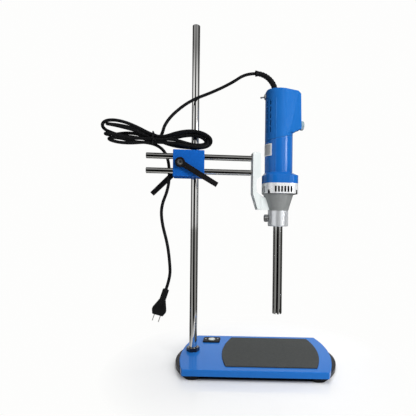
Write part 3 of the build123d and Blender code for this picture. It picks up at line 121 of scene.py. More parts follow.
# %% Route of the lead, head frame, mm
LEAD_DIAMETER = 0.0065
top_run = [
    (124.4, -18.5, 608.1), (103.0, -17.8, 606.5), (76.0, -16.3, 586.5), (34.0, -14.6, 564.3),
    (-10.0, -14.4, 545.5), (-45.0, -17.3, 516.0), (-62.5, -20.8, 491.0), (-66.5, -20.0, 474.0),
]
hank_turns = [
    # in through the tie, at the back
    [
        (-73.8, -14.7, 462.4), (-88.3, -14, 460.1),
    ],
    # left, the highest and widest turn, and back to the tie
    [
        (-105.3, -12, 462), (-124.8, -11.5, 464.9), (-142.6, -11.7, 466.7),
        (-157.5, -13.6, 468.8), (-169.4, -15.5, 472.4), (-178.4, -17.6, 475.9),
        (-182.9, -22.3, 480.4), (-182.6, -28.1, 485.2), (-177.6, -33.4, 489.2),
        (-168.5, -36.7, 491.6), (-155.6, -37.9, 491.9), (-139.9, -37, 489.4),
        (-123.2, -34.8, 484.1), (-108.2, -32.2, 478), (-95.2, -29.9, 471.8),
        (-83.8, -28.9, 467.6),
    ],
    # right, the outer turn
    [
        (-71, -28.7, 464.2), (-57.9, -28.9, 466.3), (-43.5, -29.5, 471.9), (-25, -29.6, 477.1),
        (-6.2, -29, 479), (10.5, -28.5, 477), (23.7, -28.7, 471.5), (32.5, -28.5, 463.4),
        (31.5, -24.5, 453.9), (22.6, -23.4, 447.7), (9.7, -22.8, 445.1), (-6, -22, 444.8),
        (-22, -21.2, 445.7), (-38.1, -20.5, 447.2), (-54.8, -20.7, 450.8),
        (-69.8, -22.6, 456.2), (-83.8, -25, 460.3),
    ],
    # left, the turn just under the highest
    [
        (-96.8, -26.1, 465.1), (-108.3, -28.1, 470), (-122, -31.5, 475.1),
        (-135.8, -35, 477.9), (-147.8, -37.3, 480), (-158.3, -37.5, 482),
        (-167.1, -35.1, 483.9), (-172.5, -30.2, 485.5), (-174.5, -24.4, 486.8),
        (-172.6, -18.4, 487.9), (-167.1, -13.6, 488.7), (-158.2, -11.1, 488.7),
        (-146.8, -10.6, 487.4), (-133.9, -11.6, 484.8), (-120.2, -13.4, 480.5),
        (-108.1, -15.6, 475.5), (-96.8, -18.1, 470.2), (-84, -20.7, 466.6),
    ],
    # right, the inner turn
    [
        (-70.9, -22.6, 463.2), (-56.8, -21.8, 461.1), (-40.9, -20.1, 464.6),
        (-24.1, -19.2, 469.5), (-8.4, -18.7, 471.6), (4.5, -18.9, 470.9), (14.4, -19.3, 467.2),
        (20.4, -19.4, 462.2), (22.1, -21.8, 457.2), (19.1, -26.4, 453.1), (11.4, -28.8, 450.6),
        (-0.1, -29.5, 450.1), (-12.2, -29.7, 451.8), (-26.1, -30, 455.6),
        (-41.8, -30.1, 458.9), (-56, -30.6, 460.1), (-70, -31.6, 458.5), (-83.9, -31.6, 459),
    ],
    # left, the middle turn
    [
        (-97, -31.4, 458.6), (-110.2, -33.2, 458.8), (-124.9, -35.8, 457.8),
        (-138.8, -38, 459.2), (-150.8, -39, 461.8), (-161.3, -38.3, 464.3),
        (-170.1, -35.4, 465.8), (-175.6, -30.4, 466.6), (-177.7, -24, 467),
        (-176.1, -16.9, 467.1), (-170.8, -10.2, 467.7), (-161.8, -7.1, 469.8),
        (-150.8, -7.3, 472.1), (-137.8, -9.3, 473.3), (-123, -12, 472.1),
        (-108.3, -15.9, 468.3), (-96.1, -20, 462.6), (-84, -19.8, 454.9),
    ],
    # right, the turn between the two
    [
        (-71, -15.8, 456.6), (-56.9, -15.1, 463.1), (-41.5, -15.1, 469.5),
        (-22.3, -14.8, 475.2), (-5.3, -14.8, 477.1), (8.8, -15.6, 475.9), (20, -18.6, 471.8),
        (25.8, -22.7, 465), (25.8, -28.1, 457.6), (24.1, -30.8, 451), (16.5, -32.9, 446.9),
        (4.9, -34, 445.2), (-8.2, -34, 445.9), (-22.3, -33, 448.2), (-38.2, -30.7, 451.5),
        (-54.8, -28.7, 453.4), (-69.9, -28.4, 452.9), (-83.9, -27.9, 453.2),
    ],
    # left, the lowest turn, and out below the tie
    [
        (-97, -28.2, 452.4), (-109.9, -30.2, 451), (-122, -33.1, 449.1),
        (-133.9, -36.1, 448.1), (-144.9, -37.9, 448.2), (-154.8, -37.7, 449.6),
        (-163.1, -34.9, 452.1), (-168.6, -30.1, 455), (-170.6, -24, 457.9),
        (-169.1, -17.9, 460.5), (-164.1, -13, 462), (-155.7, -10, 462.4),
        (-145.2, -9.1, 460.8), (-132.7, -9.7, 457.6), (-118, -11.3, 455.2),
        (-103, -13.3, 454.6), (-88.3, -14.3, 452.7),
    ],
]
drop_run = [
    (-75.4, -16.4, 447.8), (-64.0, -12.6, 439.5), (-55.5, -11.2, 423.0), (-52.0, -11.0, 395.0),
    (-54.5, -11.0, 360.0), (-68.8, -11.0, 324.0), (-66.5, -11.0, 289.0), (-54.5, -11.0, 246.0),
    (-49.5, -11.0, 205.0), (-48.5, -11.0, 178.0), (-56.6, -11.0, 153.0),
]
lead_route = list(top_run)
for turn in hank_turns:
    lead_route += turn
lead_route += drop_run
print("control points of the lead:", len(lead_route))


# %% The lead as a curve
def smooth_curve(name, points, radius):
    curve = bpy.data.curves.new(name, "CURVE")
    curve.dimensions = "3D"
    curve.resolution_u = 5
    curve.bevel_depth = radius
    curve.bevel_resolution = 4
    curve.use_fill_caps = True
    spline = curve.splines.new("NURBS")
    spline.points.add(len(points) - 1)
    for place, point in zip(points, spline.points):
        point.co = (*in_head(*place), 1)
    spline.order_u = 3
    spline.use_endpoint_u = True
    made = bpy.data.objects.new(name, curve)
    bpy.context.scene.collection.objects.link(made)
    return made


mains_lead = smooth_curve("mains_lead", lead_route, LEAD_DIAMETER / 2)


def line_of(curve_object):
    """The curve's own line as points, and its length."""
    bare = curve_object.copy()
    bare.data = curve_object.data.copy()
    bare.data.bevel_depth = 0
    mesh = bpy.data.meshes.new_from_object(bare)
    points = [v.co.copy() for v in mesh.vertices]
    bpy.data.meshes.remove(mesh)
    bpy.data.curves.remove(bare.data)
    return points, sum((b - a).length for a, b in zip(points, points[1:]))


lead_line, lead_length = line_of(mains_lead)
print("length of the lead, m:", round(lead_length, 3))

# %% [markdown]
# The lead spans a joint: its upper end rides with the motor and the hank with the clamp.
# The curve is turned into a mesh tube.

# %% The lead as a tube
lead_tube = bpy.data.objects.new("mains_lead_tube", bpy.data.meshes.new_from_object(mains_lead))
bpy.context.scene.collection.objects.link(lead_tube)
bpy.data.objects.remove(mains_lead)
for face in lead_tube.data.polygons:
    face.use_smooth = True
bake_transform(lead_tube)
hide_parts("cord_top_run", "cord_hank", "cord_drop")
print("tube faces:", len(lead_tube.data.polygons))

# %% [markdown]
# ## Ribbed boot
# A moulded strain relief is a tapered rubber sleeve with rings cut round it, so it bends
# evenly. It is made as by hand: a circle is spun along the arc that the lead leaves in,
# the ring loops are tapered, and every second band is pushed in.

# %% The arc of the boot
boot_end = in_head(*top_run[0])
boot_root = in_head(167.5, -20.5, 571.5)
leaving = (boot_end - in_head(*top_run[1])).normalized()
chord = boot_root - boot_end
turn_axis = leaving.cross(chord).normalized()
half_turn = leaving.angle(chord)
arc_radius = chord.length / (2 * math.sin(half_turn))
arc_centre = boot_end + turn_axis.cross(leaving) * arc_radius
print("boot arc, mm and degrees:", round(arc_radius * 1000, 1), round(math.degrees(2 * half_turn), 1))

# %% Spin, taper and rib the boot
BOOT_STEPS = 44              # bands along the arc
BOOT_RADIUS = 0.0053         # at the lead, before the taper
BOOT_TAPER = 0.24            # growth from the lead to the motor
LIP_RINGS, LIP_SWELL = range(0, 3), 1.17
RIB_RINGS, RIB_PINCH = range(4, 39), 0.9
ROOT_RING, ROOT_SWELL = 41, 1.46
deselect_all()
bpy.ops.mesh.primitive_circle_add(
    vertices=32, radius=BOOT_RADIUS, location=boot_end, rotation=leaving.to_track_quat("Z", "Y").to_euler()
)
ribbed_boot = bpy.context.object
ribbed_boot.name = "ribbed_boot"
bpy.ops.object.transform_apply(location=True, rotation=True, scale=True)
bpy.ops.object.mode_set(mode="EDIT")
bpy.ops.mesh.select_all(action="SELECT")
bpy.ops.mesh.spin(steps=BOOT_STEPS, angle=-2 * half_turn, center=arc_centre, axis=turn_axis)
bpy.ops.object.mode_set(mode="OBJECT")


def boot_angle(place):
    """How far along the boot's arc a place is, from 0 at the lead to 1 at the motor."""
    spoke = place - arc_centre
    flat = spoke - turn_axis * spoke.dot(turn_axis)
    start = boot_end - arc_centre
    return start.angle(flat) / (2 * half_turn) if start.cross(flat).dot(turn_axis) > 0 else 0.0


def boot_line(share):
    return arc_centre + Matrix.Rotation(2 * half_turn * share, 3, turn_axis) @ (boot_end - arc_centre)


for point in ribbed_boot.data.vertices:
    ring = round(boot_angle(point.co) * BOOT_STEPS)
    share = ring / BOOT_STEPS
    swell = 1 + BOOT_TAPER * share
    if ring in LIP_RINGS:
        swell = LIP_SWELL
    elif ring in RIB_RINGS and ring % 4 in (1, 2):
        swell *= RIB_PINCH
    elif ring >= ROOT_RING:
        swell = ROOT_SWELL
    middle = boot_line(share)
    point.co = middle + (point.co - middle) * swell
print("boot rings:", BOOT_STEPS + 1)

# %% Close and finish the boot
deselect_all()
ribbed_boot.select_set(True)
bpy.context.view_layer.objects.active = ribbed_boot
bpy.ops.object.mode_set(mode="EDIT")
bpy.ops.mesh.select_all(action="SELECT")
bpy.ops.mesh.remove_doubles(threshold=1e-6)
bpy.ops.mesh.select_all(action="DESELECT")
bpy.ops.mesh.select_non_manifold()
bpy.ops.mesh.edge_face_add()
bpy.ops.mesh.select_all(action="SELECT")
bpy.ops.mesh.normals_make_consistent(inside=False)
bpy.ops.object.mode_set(mode="OBJECT")
boot_bevel = ribbed_boot.modifiers.new("rounded_ribs", "BEVEL")
boot_bevel.width = 0.0003
boot_bevel.segments = 2
bpy.ops.object.modifier_apply(modifier=boot_bevel.name)
bpy.ops.object.shade_smooth_by_angle(angle=math.radians(35))
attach(ribbed_boot, "motor_arm")
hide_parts("cable_boot")
print("boot faces:", len(ribbed_boot.data.polygons))

# %% [markdown]
# ## Twisted ends of the wire tie
# A wire tie is closed by twisting its two ends together. The pair is two small circles
# side by side, turned and lifted at once by a Screw modifier, as a rope is laid.

# %% Twist two wires
TWIST_LENGTH = 0.013
TWIST_TURN = math.radians(900)
TWIST_STEPS = 60
TWIST_WAY = Vector((0.75, -0.2, -0.62))
WIRE_RADIUS = 0.00055
WIRE_OFFSET = 0.00058        # of each wire from the middle of the pair
TIE_CLEARANCE = 0.0004
tie_low, tie_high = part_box("cord_tie")
twist_foot = Vector((
    (tie_low.x + tie_high.x) / 2, tie_low.y - TIE_CLEARANCE, (tie_low.z + tie_high.z) / 2))
deselect_all()
for side in (-1, 1):
    bpy.ops.mesh.primitive_circle_add(
        vertices=12, radius=WIRE_RADIUS, location=(WIRE_OFFSET * side, 0, 0), fill_type="NGON")
    if side == 1:
        bpy.data.objects["tie_twist"].select_set(True)
        bpy.context.view_layer.objects.active = bpy.data.objects["tie_twist"]
        bpy.ops.object.join()
    else:
        bpy.context.object.name = "tie_twist"
tie_twist = bpy.context.object
bpy.ops.object.transform_apply(location=True, rotation=True, scale=True)
lay = tie_twist.modifiers.new("lay", "SCREW")
lay.axis, lay.angle, lay.screw_offset = "Z", TWIST_TURN, TWIST_LENGTH
lay.steps = lay.render_steps = TWIST_STEPS
lay.use_merge_vertices = True
bpy.ops.object.modifier_apply(modifier=lay.name)
tie_twist.location = twist_foot
tie_twist.rotation_euler = TWIST_WAY.to_track_quat("Z", "Y").to_euler()
bpy.ops.object.transform_apply(location=True, rotation=True, scale=True)
bpy.ops.object.mode_set(mode="EDIT")
bpy.ops.mesh.select_all(action="SELECT")
bpy.ops.mesh.normals_make_consistent(inside=False)
bpy.ops.object.mode_set(mode="OBJECT")
bpy.ops.object.shade_smooth_by_angle(angle=math.radians(50))
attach(tie_twist, "clamp_head")
print("twisted ends, faces:", len(tie_twist.data.polygons))

# %% [markdown]
# ## Shared effects
# Real surfaces vary a little: paint drifts in tone, edges take another tone, dust settles on
# what faces up, and a lathe or a brush leaves fine lines. The edge tone is wear on the metals
# and the black parts, and painted light elsewhere: a painted highlight on the blue parts, the
# bracket and the dial, a painted glint on the lever screws, and painted shade on the mat.
# Each of these is a node group with its own inputs, built once and placed in each finish with
# its own values.


# %% Placing nodes
def place(tree, kind, sockets=None, **settings):
    """A node of that kind, with its settings, and its sockets set or linked by name."""
    made = tree.nodes.new(kind)
    for key, value in settings.items():
        setattr(made, key, value)
    for key, value in (sockets or {}).items():
        socket = made.inputs[key]
        if isinstance(value, bpy.types.NodeSocket):
            tree.links.new(value, socket)
        else:
            socket.default_value = value
    return made


def new_group(name, inputs, outputs):
    """An empty shader group with named inputs and outputs."""
    group = bpy.data.node_groups.new(name, "ShaderNodeTree")
    for label, kind, value in inputs:
        socket = group.interface.new_socket(label, in_out="INPUT", socket_type=kind)
        socket.default_value = value
    for label, kind in outputs:
        group.interface.new_socket(label, in_out="OUTPUT", socket_type=kind)
    return group, place(group, "NodeGroupInput"), place(group, "NodeGroupOutput")


def math_node(tree, operation, *values, clamp=False):
    made = tree.nodes.new("ShaderNodeMath")
    made.operation = operation
    made.use_clamp = clamp
    for socket, value in zip(made.inputs, values):
        if isinstance(value, bpy.types.NodeSocket):
            tree.links.new(value, socket)
        else:
            socket.default_value = value
    return made.outputs[0]


def mix_colour(tree, share, first, second):
    """The first colour going to the second with the share; each is a colour or a socket."""
    return place(tree, "ShaderNodeMix", {0: share, 6: first, 7: second}, data_type="RGBA").outputs[2]


# %% Tone drift
tone_drift, given, result = new_group(
    "tone_drift",
    [("Colour", "NodeSocketColor", (0.5, 0.5, 0.5, 1)), ("Darker", "NodeSocketColor", (0.4, 0.4, 0.4, 1)),
     ("Scale", "NodeSocketFloat", 20.0), ("Amount", "NodeSocketFloat", 0.5)],
    [("Colour", "NodeSocketColor")],
)
coords = place(tone_drift, "ShaderNodeTexCoord")
clouds = place(tone_drift, "ShaderNodeTexNoise", {
    "Vector": coords.outputs["Object"], "Scale": given.outputs["Scale"], "Detail": 4.0, "Roughness": 0.6})
spread = place(tone_drift, "ShaderNodeMapRange", {
    "Value": clouds.outputs["Fac"], "From Min": 0.32, "From Max": 0.68})
share = math_node(tone_drift, "MULTIPLY", spread.outputs["Result"], given.outputs["Amount"])
drifted = mix_colour(tone_drift, share, given.outputs["Colour"], given.outputs["Darker"])
tone_drift.links.new(drifted, result.inputs["Colour"])

# %% Edge tone: wear, painted highlight and painted shade
edge_wear_and_painted_light, given, result = new_group(
    "edge_wear_and_painted_light",
    [("Width", "NodeSocketFloat", 0.001), ("Amount", "NodeSocketFloat", 0.5),
     ("Patches", "NodeSocketFloat", 120.0)],
    [("Mask", "NodeSocketFloat")],
)
rounded = place(edge_wear_and_painted_light, "ShaderNodeBevel", {"Radius": given.outputs["Width"]}, samples=4)
facing = place(edge_wear_and_painted_light, "ShaderNodeNewGeometry")
meet = place(edge_wear_and_painted_light, "ShaderNodeVectorMath", {
    0: rounded.outputs[0], 1: facing.outputs["Normal"]}, operation="DOT_PRODUCT")
away = math_node(edge_wear_and_painted_light, "SUBTRACT", 1.0, meet.outputs["Value"])
sharp = place(edge_wear_and_painted_light, "ShaderNodeMapRange", {"Value": away, "From Min": 0.01, "From Max": 0.12})
coords = place(edge_wear_and_painted_light, "ShaderNodeTexCoord")
patches = place(edge_wear_and_painted_light, "ShaderNodeTexNoise", {
    "Vector": coords.outputs["Object"], "Scale": given.outputs["Patches"], "Detail": 5.0})
broken = place(edge_wear_and_painted_light, "ShaderNodeMapRange", {
    "Value": patches.outputs["Fac"], "From Min": 0.35, "From Max": 0.62})
edge_marked = math_node(edge_wear_and_painted_light, "MULTIPLY", sharp.outputs["Result"], broken.outputs["Result"])
mask = math_node(edge_wear_and_painted_light, "MULTIPLY", edge_marked, given.outputs["Amount"], clamp=True)
edge_wear_and_painted_light.links.new(mask, result.inputs["Mask"])

# %% Settled dust
settled_dust, given, result = new_group(
    "settled_dust",
    [("Amount", "NodeSocketFloat", 0.2), ("Scale", "NodeSocketFloat", 300.0)],
    [("Mask", "NodeSocketFloat")],
)
facing = place(settled_dust, "ShaderNodeNewGeometry")
up = place(settled_dust, "ShaderNodeSeparateXYZ", {0: facing.outputs["Normal"]})
upward = place(settled_dust, "ShaderNodeMapRange", {
    "Value": up.outputs["Z"], "From Min": 0.6, "From Max": 1.0})
coords = place(settled_dust, "ShaderNodeTexCoord")
specks = place(settled_dust, "ShaderNodeTexNoise", {
    "Vector": coords.outputs["Object"], "Scale": given.outputs["Scale"], "Detail": 6.0, "Roughness": 0.7})
loose = place(settled_dust, "ShaderNodeMapRange", {
    "Value": specks.outputs["Fac"], "From Min": 0.45, "From Max": 0.75})
film = math_node(settled_dust, "MULTIPLY", upward.outputs["Result"], loose.outputs["Result"])
mask = math_node(settled_dust, "MULTIPLY", film, given.outputs["Amount"], clamp=True)
settled_dust.links.new(mask, result.inputs["Mask"])

# %% Fine lines of a lathe, a brush or a grinder
fine_lines, given, result = new_group(
    "fine_lines",
    [("Stretch", "NodeSocketVector", (1.0, 1.0, 1.0)), ("Scale", "NodeSocketFloat", 500.0)],
    [("Height", "NodeSocketFloat")],
)
coords = place(fine_lines, "ShaderNodeTexCoord")
drawn = place(fine_lines, "ShaderNodeVectorMath", {
    0: coords.outputs["Object"], 1: given.outputs["Stretch"]}, operation="MULTIPLY")
streaks = place(fine_lines, "ShaderNodeTexNoise", {
    "Vector": drawn.outputs[0], "Scale": given.outputs["Scale"], "Detail": 3.0, "Roughness": 0.7})
fine_lines.links.new(streaks.outputs["Fac"], result.inputs["Height"])

# %% Moulded or cast grain
skin_grain, given, result = new_group(
    "skin_grain",
    [("Scale", "NodeSocketFloat", 900.0), ("Cells", "NodeSocketFloat", 0.5)],
    [("Height", "NodeSocketFloat")],
)
coords = place(skin_grain, "ShaderNodeTexCoord")
fog = place(skin_grain, "ShaderNodeTexNoise", {
    "Vector": coords.outputs["Object"], "Scale": given.outputs["Scale"], "Detail": 3.0})
pebbles = place(skin_grain, "ShaderNodeTexVoronoi", {
    "Vector": coords.outputs["Object"], "Scale": given.outputs["Scale"]})
both = place(skin_grain, "ShaderNodeMix", {
    "Factor": given.outputs["Cells"], "A": fog.outputs["Fac"], "B": pebbles.outputs["Distance"]})
skin_grain.links.new(both.outputs["Result"], result.inputs["Height"])
print("groups:", [g.name for g in bpy.data.node_groups])

# %% [markdown]
# ## Finishes
# One maker's recipe covers most of the parts: a base tone that drifts, a skin that is
# grained or drawn, edges in another tone, which is wear on some parts and painted light on
# others, and a little dust. Each finish then sets its own plain values, such as coat and
# roughness, on the shader itself.

# %% The recipe
DUST_TONE = (0.35, 0.35, 0.34, 1)
DUST_DULLS = 0.5             # roughness that a full film adds


def finish(name, colour, darker, roughness, metallic=0.0, drift_scale=25.0, drift=0.6,
           grain=("skin", 900.0, 0.5), bump=0.12, depth=0.0002, edge_tone=None, edge_width=0.0009,
           edge_amount=0.5, dust=0.12, spread=0.08, **plain):
    """A Principled material; plain holds the values set on the shader itself."""
    material = bpy.data.materials.new(name)
    material.use_nodes = True
    tree = material.node_tree
    shader = tree.nodes["Principled BSDF"]
    tone = place(tree, "ShaderNodeGroup", {
        "Colour": (*colour, 1), "Darker": (*darker, 1), "Scale": drift_scale, "Amount": drift,
    }, node_tree=tone_drift)
    shade = tone.outputs["Colour"]
    pattern, fineness, form = grain
    if pattern == "skin":
        skin = place(tree, "ShaderNodeGroup", {"Scale": fineness, "Cells": form}, node_tree=skin_grain)
    else:
        skin = place(tree, "ShaderNodeGroup", {"Scale": fineness, "Stretch": form}, node_tree=fine_lines)
    relief = place(tree, "ShaderNodeBump", {
        "Strength": bump, "Distance": depth, "Height": skin.outputs["Height"]})
    tree.links.new(relief.outputs["Normal"], shader.inputs["Normal"])
    rough = place(tree, "ShaderNodeMapRange", {
        "Value": skin.outputs["Height"], "From Min": 0.3, "From Max": 0.7,
        "To Min": max(0.02, roughness - spread), "To Max": min(1.0, roughness + spread)})
    roughness_now = rough.outputs["Result"]
    # Edge tone: wear on the metals and black parts; a painted highlight, painted glint or painted shade on
    # the others.
    if edge_tone is not None:
        edge_marked = place(tree, "ShaderNodeGroup", {"Width": edge_width, "Amount": edge_amount}, node_tree=edge_wear_and_painted_light)
        shade = mix_colour(tree, edge_marked.outputs["Mask"], shade, (*edge_tone, 1))
    if dust:
        film = place(tree, "ShaderNodeGroup", {"Amount": dust}, node_tree=settled_dust)
        shade = mix_colour(tree, film.outputs["Mask"], shade, DUST_TONE)
        duller = math_node(tree, "MULTIPLY", film.outputs["Mask"], DUST_DULLS)
        roughness_now = math_node(tree, "ADD", roughness_now, duller, clamp=True)
    tree.links.new(shade, shader.inputs["Base Color"])
    tree.links.new(roughness_now, shader.inputs["Roughness"])
    shader.inputs["Metallic"].default_value = metallic
    for label, value in plain.items():
        shader.inputs[label.replace("_", " ")].default_value = value
    return material


def dress(material, *names):
    """Puts one material on each named object, in place of what it had."""
    for name in names:
        mesh = bpy.data.objects[name].data
        mesh.materials.clear()
        mesh.materials.append(material)


def repaint(material, mask, tone):
    """Another colour where the mask is 1."""
    base = material.node_tree.nodes["Principled BSDF"].inputs["Base Color"]
    mixed = mix_colour(material.node_tree, mask, base.links[0].from_socket, (*tone, 1))
    material.node_tree.links.new(mixed, base)


def change_where(material, mask, label, value):
    """Another number, or another socket's number, where the mask is 1."""
    tree = material.node_tree
    socket = tree.nodes["Principled BSDF"].inputs[label]
    before = socket.links[0].from_socket if socket.is_linked else socket.default_value
    mixed = place(tree, "ShaderNodeMix", {"Factor": mask, "A": before, "B": value})
    tree.links.new(mixed.outputs["Result"], socket)


# %% Blue enamel, painted block and moulded housing
# The lighter blue edge tone of these four finishes is a painted highlight along their edges.
plate_enamel = finish(
    "plate_enamel", (0.018, 0.150, 0.500), (0.014, 0.130, 0.450), 0.13, drift_scale=9, drift=0.5,
    grain=("skin", 260.0, 0.0), bump=0.03, depth=0.0003, edge_tone=(0.07, 0.25, 0.62), edge_width=0.0014,
    edge_amount=0.5, dust=0.03, spread=0.03, Specular_IOR_Level=0.08)
block_blue = finish(
    "block_paint", (0.007, 0.105, 0.440), (0.005, 0.088, 0.390), 0.34, drift_scale=30,
    grain=("skin", 1400.0, 0.3), bump=0.08, edge_tone=(0.07, 0.26, 0.66), edge_width=0.0011,
    edge_amount=0.7, dust=0.03, Specular_IOR_Level=0.14)
cover_blue = finish(
    "cover_moulding", (0.011, 0.128, 0.430), (0.009, 0.110, 0.385), 0.36, drift_scale=18, drift=0.5,
    grain=("skin", 900.0, 0.3), bump=0.07, edge_tone=(0.10, 0.32, 0.76), edge_width=0.0011,
    edge_amount=0.55, dust=0.02, spread=0.05, Specular_IOR_Level=0.16)
housing_blue = finish(
    "housing_moulding", (0.009, 0.120, 0.430), (0.007, 0.104, 0.390), 0.17, drift_scale=18,
    drift=0.5, grain=("skin", 500.0, 0.1), bump=0.03, edge_tone=(0.10, 0.32, 0.76), edge_width=0.0011,
    edge_amount=0.55, dust=0.02, spread=0.03, Specular_IOR_Level=0.22, Coat_Weight=0.15,
    Coat_Roughness=0.08)
dress(plate_enamel, "base_plate")
dress(block_blue, "clamp_block")
dress(cover_blue, "motor_cover")
dress(housing_blue, "motor_housing")

# %% Black rubber, plastic and lacquer
rail_rubber = finish(
    "rail_rubber", (0.004, 0.004, 0.005), (0.007, 0.007, 0.008), 0.2, drift_scale=60,
    grain=("skin", 1500.0, 0.6), bump=0.04, edge_tone=(0.02, 0.02, 0.022), edge_amount=0.25, dust=0.0,
    Specular_IOR_Level=0.1)
# The mat's darker edge tone is painted shade along its edges.
mat_rubber = finish(
    "mat_rubber", (0.054, 0.057, 0.056), (0.044, 0.047, 0.047), 0.8, drift_scale=160, drift=0.5,
    grain=("skin", 2200.0, 0.8), bump=0.25, depth=0.0003, edge_tone=(0.012, 0.013, 0.013),
    edge_width=0.0012, edge_amount=1.0, dust=0.06, Specular_IOR_Level=0.2)
holder_black = finish(
    "holder_black", (0.008, 0.009, 0.010), (0.014, 0.015, 0.017), 0.4, drift_scale=80,
    grain=("skin", 1800.0, 0.6), bump=0.12, edge_tone=(0.06, 0.06, 0.065), edge_amount=0.4, dust=0.02,
    Specular_IOR_Level=0.14)
lever_black = finish(
    "lever_lacquer", (0.007, 0.0065, 0.007), (0.012, 0.011, 0.012), 0.38, drift_scale=70,
    grain=("skin", 1300.0, 0.5), bump=0.12, edge_tone=(0.05, 0.05, 0.053), edge_width=0.001,
    edge_amount=0.4, dust=0.02, Specular_IOR_Level=0.14)
lead_black = finish(
    "lead_jacket", (0.005, 0.005, 0.0055), (0.010, 0.010, 0.011), 0.34, drift_scale=90,
    grain=("skin", 1600.0, 0.3), bump=0.08, dust=0.02, Specular_IOR_Level=0.14)
boot_black = finish(
    "boot_rubber", (0.006, 0.006, 0.0065), (0.011, 0.011, 0.012), 0.42, drift_scale=120,
    grain=("skin", 1800.0, 0.6), bump=0.12, edge_tone=(0.03, 0.03, 0.032), edge_width=0.0006, dust=0.02,
    Specular_IOR_Level=0.14)
plug_black = finish(
    "plug_moulding", (0.006, 0.006, 0.0065), (0.011, 0.011, 0.012), 0.38, drift_scale=110,
    grain=("skin", 1500.0, 0.6), bump=0.12, edge_tone=(0.04, 0.04, 0.044), edge_width=0.0008,
    edge_amount=0.4, dust=0.02, Specular_IOR_Level=0.14)
tie_black = finish("tie_wire", (0.008, 0.008, 0.009), (0.016, 0.016, 0.017), 0.3, dust=0.03)
fan_black = finish(
    "fan_nylon", (0.01, 0.01, 0.011), (0.018, 0.018, 0.02), 0.55, drift_scale=100, dust=0.1)
dress(rail_rubber, "left_foot_rail", "right_foot_rail")
dress(mat_rubber, "work_mat")
dress(holder_black, "level_holder")
dress(lever_black, "front_lever", "rear_lever")
dress(lead_black, "mains_lead_tube")
dress(boot_black, "ribbed_boot", "cable_boot")
dress(plug_black, "plug_body")
dress(tie_black, "cord_tie", "tie_twist")
dress(fan_black, "cooling_fan")

# %% Polished, ground and plated metal
rod_chrome = finish(
    "rod_chrome", (0.80, 0.79, 0.76), (0.72, 0.71, 0.68), 0.06, metallic=1.0, drift_scale=12,
    drift=0.3, grain=("lines", 700.0, (1.0, 1.0, 0.03)), bump=0.02, depth=0.0001, dust=0.02,
    spread=0.02)
arm_chrome = finish(
    "arm_chrome", (0.78, 0.77, 0.73), (0.70, 0.69, 0.66), 0.08, metallic=1.0, drift_scale=14,
    drift=0.3, grain=("lines", 700.0, (0.03, 1.0, 1.0)), bump=0.02, depth=0.0001, dust=0.02,
    spread=0.02)
tool_steel = finish(
    "tool_stainless", (0.64, 0.64, 0.615), (0.54, 0.54, 0.52), 0.1, metallic=1.0, drift_scale=30,
    drift=0.4, grain=("lines", 900.0, (1.0, 1.0, 0.05)), bump=0.03, depth=0.0001, dust=0.0,
    spread=0.04)
screw_steel = finish(
    "screw_steel", (0.68, 0.68, 0.66), (0.5, 0.5, 0.49), 0.2, metallic=1.0, drift_scale=200,
    grain=("skin", 2500.0, 0.3), bump=0.08, edge_tone=(0.85, 0.85, 0.83), edge_width=0.0004, dust=0.02)
black_oxide_and_hole_shade = finish(
    "black_oxide_and_hole_shade", (0.012, 0.014, 0.018), (0.022, 0.023, 0.026), 0.2, metallic=0.5, drift_scale=150,
    grain=("skin", 2000.0, 0.4), bump=0.06, edge_tone=(0.16, 0.17, 0.18), edge_width=0.0006, dust=0.03,
    Coat_Weight=0.6, Coat_Roughness=0.06)
plated_brass = finish(
    "blade_plate", (0.76, 0.73, 0.64), (0.62, 0.59, 0.5), 0.2, metallic=1.0, drift_scale=160,
    grain=("lines", 1600.0, (1.0, 0.1, 0.1)), bump=0.05, dust=0.0)
dress(rod_chrome, "stand_rod")
dress(arm_chrome, "lower_arm_rod", "upper_arm_rod")
dress(tool_steel, "stator_tube", "tool_shaft", "rotor_head")
# The full bright edge tone here is a painted glint on the rim of the hex socket.
lever_zinc = finish(
    "lever_screw_zinc", (0.10, 0.10, 0.10), (0.05, 0.05, 0.05), 0.3, metallic=0.4, drift_scale=240,
    grain=("skin", 2500.0, 0.3), bump=0.08, edge_tone=(0.8, 0.8, 0.78), edge_width=0.0009, edge_amount=1.0,
    dust=0.02)
dress(lever_zinc, "front_lever_screw", "rear_lever_screw")
dress(
    screw_steel, "corner_screw_1", "corner_screw_2", "corner_screw_3", "corner_screw_4",
    "lock_screw", "switch_toggle", "switch_bushing", "level_screw_1", "level_screw_2",
    "lower_motor_bearing", "upper_motor_bearing", "drive_coupling", "armature")
dress(
    black_oxide_and_hole_shade, "rod_jam_nut", "bracket_screw_1", "bracket_screw_2", "arm_grub_screw_1",
    "arm_grub_screw_2", "foot_screw_1", "foot_screw_2", "foot_screw_3", "foot_screw_4")
dress(plated_brass, "plug_blade_1", "plug_blade_2")

